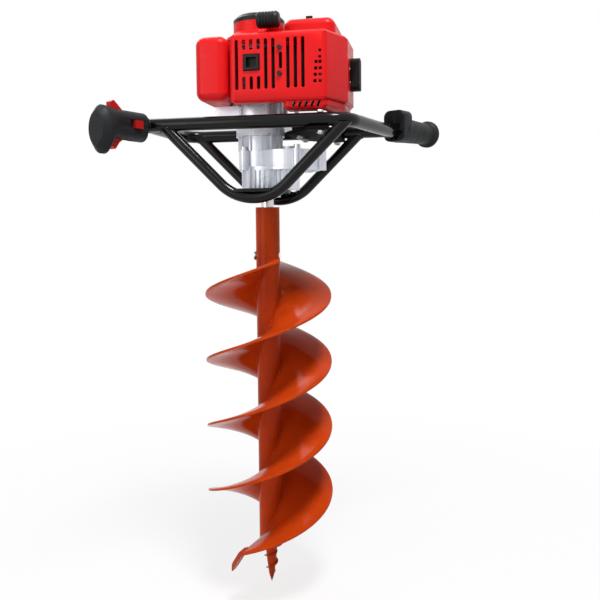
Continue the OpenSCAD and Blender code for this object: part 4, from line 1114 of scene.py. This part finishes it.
@dataclass
class PullHandle:
    """The starter's pull handle, with finger grooves round its bar.

    The tip gives the radius of the bar at distances from its end.
    """

    radius: float = 12 * MM
    half_length: float = 17 * MM
    tip: tuple[Span, ...] = (
        (0.3 * MM, 0.0), (8 * MM, 0.0), (9.6 * MM, 0.4 * MM), (10.8 * MM, 2 * MM),
        (12 * MM, 4 * MM),
    )
    groove_depth: float = 1.1 * MM
    groove_half: float = 1.2 * MM
    groove_pitch: float = 4.6 * MM
    groove_count: int = 5
    neck_low: float = 7 * MM
    neck_high: float = 6 * MM
    neck_reach: float = 14 * MM
    neck_taper: float = 0.75
    neck_steps: int = 40
    neck_round: Span = (0.5 * MM, 0.6 * MM)

    def build(self, kit: Kit) -> None:
        """Turns the bar and its neck where the solid handle stands.

        Args:
            kit: Finishes and shared trees.
        """
        corners = [Vector(v.co) for v in frame["nodes"]["pull_handle"].data.vertices]
        low, high = (Vector(pick(p[i] for p in corners) for i in range(3)) for pick in (min, max))
        x, z = (low.x + high.x) / 2, (low.z + high.z) / 2
        centre = Matrix.Translation((x, low.y + self.radius, z))
        bm = bmesh.new()
        turned(bm, self._bar(), centre @ Matrix.Rotation(math.pi / 2, 4, "Y"))
        thick, thin, reach = self.neck_low, self.neck_high, self.neck_reach
        soft, drop = self.neck_round
        neck = [(thick, reach / 2), (thick, reach * self.neck_taper)]
        neck += [(thin, reach - drop), (thin - soft, reach)]
        turned(bm, neck, centre @ Matrix.Rotation(-math.pi / 2, 4, "X"), self.neck_steps)
        kit.place(object_from(bm, "pull_grip"), "pull_handle", "black_plastic", "pull_handle")

    def _bar(self) -> list[Span]:
        """Draws the bar's profile from end to end.

        Returns:
            Radius and height of each point.
        """
        out, deep = self.radius, self.radius - self.groove_depth
        tip = [(radius, inward - self.half_length) for radius, inward in self.tip]
        grooves = []
        for i in range(self.groove_count):
            middle = (i - (self.groove_count - 1) / 2) * self.groove_pitch
            grooves += [(out, middle - self.groove_half), (deep, middle - self.groove_half / 2)]
            grooves += [(deep, middle + self.groove_half / 2), (out, middle + self.groove_half)]
        return tip + grooves + [(r, -z) for r, z in reversed(tip)]


@dataclass
class Studio:
    """Floor, soft lamps, white world and the camera of the photograph."""

    eye_height: float = 0.5865
    distance: float = 1.1466
    azimuth: float = math.radians(13.86)
    yaw: float = math.radians(2.53)
    pitch: float = math.radians(3.0)
    roll: float = math.radians(-0.55)
    focal: float = 43.33
    sensor: float = 36.0
    shift_up: float = -0.0713
    clip_start: float = 0.05
    world_light: float = 0.2
    floor_half: float = 6.0
    floor_drop: float = 0.5 * MM
    floor_grey: float = 0.88
    floor_roughness: float = 0.9
    fade_reach: Span = (0.25, 1.1)
    fade_share: Span = (0.8, 1.0)

    def build(self) -> None:
        """Builds the stage in order."""
        self._world()
        self._floor()
        self._lamps()
        self._camera()

    def _backdrop(
        self, tree: Tree, lit: Socket, white: Socket, share: Socket | None = None
    ) -> Socket:
        """Mixes two shaders by whether a ray looks at the backdrop or lights the scene.

        Args:
            tree: Node tree of both.
            lit: Shader for the rays that light the scene.
            white: Shader for those that look.
            share: How much of the white shader those see, where it isn't all.

        Returns:
            The mixed shader.
        """
        path = tree.nodes.new("ShaderNodeLightPath")
        factor = path.outputs["Is Camera Ray"]
        for kind in ("Is Glossy Ray", "Is Transmission Ray"):
            factor = combine(tree, "MAXIMUM", factor, path.outputs[kind])
        if share is not None:
            factor = combine(tree, "MULTIPLY", factor, share)
        mix = tree.nodes.new("ShaderNodeMixShader")
        for source, socket in zip((factor, lit, white), mix.inputs):
            tree.links.new(source, socket)
        return mix.outputs["Shader"]

    def _world(self) -> None:
        """Makes a world that looks white and lights softly."""
        world = bpy.data.worlds.new("studio_world")
        bpy.context.scene.world = world
        world.use_nodes = True
        tree = world.node_tree
        tree.nodes.clear()
        out = tree.nodes.new("ShaderNodeOutputWorld")
        soft, white = tree.nodes.new("ShaderNodeBackground"), tree.nodes.new("ShaderNodeBackground")
        soft.inputs["Strength"].default_value = self.world_light
        for light in (soft, white):
            light.inputs["Color"].default_value = WHITE
        mixed = self._backdrop(tree, soft.outputs["Background"], white.outputs["Background"])
        tree.links.new(mixed, out.inputs["Surface"])

    def _floor(self) -> None:
        """Lays a pale floor under the bit's point; it keeps the shadow."""
        bm = bmesh.new()
        half = self.floor_half
        corners = [(-half, -half), (half, -half), (half, half), (-half, half)]
        bm.faces.new([bm.verts.new((x, y, -self.floor_drop)) for x, y in corners])
        floor = object_from(bm, "studio_floor")
        mat = bpy.data.materials.new("studio_floor")
        mat.use_nodes = True
        tree = mat.node_tree
        shader = tree.nodes["Principled BSDF"]
        shader.inputs["Base Color"].default_value = (*[self.floor_grey] * 3, 1.0)
        shader.inputs["Roughness"].default_value = self.floor_roughness
        shader.inputs["Specular IOR Level"].default_value = 0.0
        glow = tree.nodes.new("ShaderNodeEmission")
        glow.inputs["Color"].default_value = WHITE
        away = tree.nodes.new("ShaderNodeVectorMath")
        away.operation = "LENGTH"
        tree.links.new(tree.nodes.new("ShaderNodeTexCoord").outputs["Object"], away.inputs[0])
        fade = map_range(tree, away.outputs["Value"], self.fade_reach, self.fade_share)
        mixed = self._backdrop(tree, shader.outputs["BSDF"], glow.outputs["Emission"], fade)
        tree.links.new(mixed, tree.nodes["Material Output"].inputs["Surface"])
        floor.data.materials.append(mat)

    def _lamps(self) -> None:
        """Hangs a high key lamp, a low fill lamp and a rim lamp."""
        for name, power, size, place, target in (
            ("key_lamp", 82.0, 0.7, (0.6, -1.0, 3.1), (0.0, 0.0, 0.4)),
            ("fill_lamp", 25.0, 1.8, (-1.6, -2.3, 1.1), (0.0, 0.0, 0.6)),
            ("rim_lamp", 12.0, 1.2, (-1.2, 1.2, 2.4), (0.0, 0.0, 0.6)),
        ):
            light = bpy.data.lights.new(name, "AREA")
            light.energy = power
            light.size = size
            lamp = linked(name, light)
            lamp.location = place
            aim = Vector(target) - Vector(place)
            lamp.rotation_euler = aim.to_track_quat("-Z", "Y").to_euler()

    def _camera(self) -> None:
        """Sets the camera at the place and angle that the photograph was fitted with."""
        data = bpy.data.cameras.new("photo_camera")
        data.sensor_width = self.sensor
        data.lens = self.focal
        data.shift_y = self.shift_up
        data.clip_start = self.clip_start
        camera = linked("photo_camera", data)
        place = Vector((math.sin(self.azimuth), -math.cos(self.azimuth), 0.0)) * self.distance
        place.z = self.eye_height
        heading = Matrix.Rotation(self.azimuth - self.yaw, 4, "Z")
        turn = heading @ Matrix.Rotation(math.pi / 2 - self.pitch, 4, "X")
        camera.matrix_world = Matrix.Translation(place) @ turn @ Matrix.Rotation(self.roll, 4, "Z")
        bpy.context.scene.camera = camera
        bpy.context.scene.view_settings.view_transform = "Standard"


def node_facts() -> tuple[dict[str, str], dict[str, str]]:
    """Reads each node's body and material slot from the record.

    Returns:
        Bodies by node, and slots by node.
    """
    record = frame["record"]
    bodies = {n: body for body, nodes in record["behaviour"]["bodies"].items() for n in nodes}
    slots = {s["node"]: s["material_slot"] for s in record["subparts"]}
    return bodies, slots


def dress_nodes(finishes: dict[str, Material], slots: dict[str, str]) -> None:
    """Gives every CAD node the finish of its slot.

    Args:
        finishes: Materials by their names.
        slots: Material slot of each node.
    """
    for node, obj in frame["nodes"].items():
        obj.data.materials.clear()
        obj.data.materials.append(finishes[SPECIAL_FINISH.get(node, slots[node])])
        LOG.info("%s wears %s", node, slots[node])


def main() -> None:
    """Builds the stage and every sub-assembly in order."""
    logging.basicConfig(level=logging.INFO, format="%(name)s: %(message)s")
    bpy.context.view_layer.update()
    kit = Kit({f.title: f.material() for f in FINISHES}, BeadTree(), StampTree())
    bodies, slots = node_facts()
    Studio().build()
    dress_nodes(kit.finishes, slots)
    AugerBit().build(kit)
    Skins().build(kit, bodies, slots)
    FrameWelds().build(kit)
    GearCase().build(kit)
    FrameBolts().build(kit)
    PullHandle().build(kit)


if __name__ == "__main__":
    main()
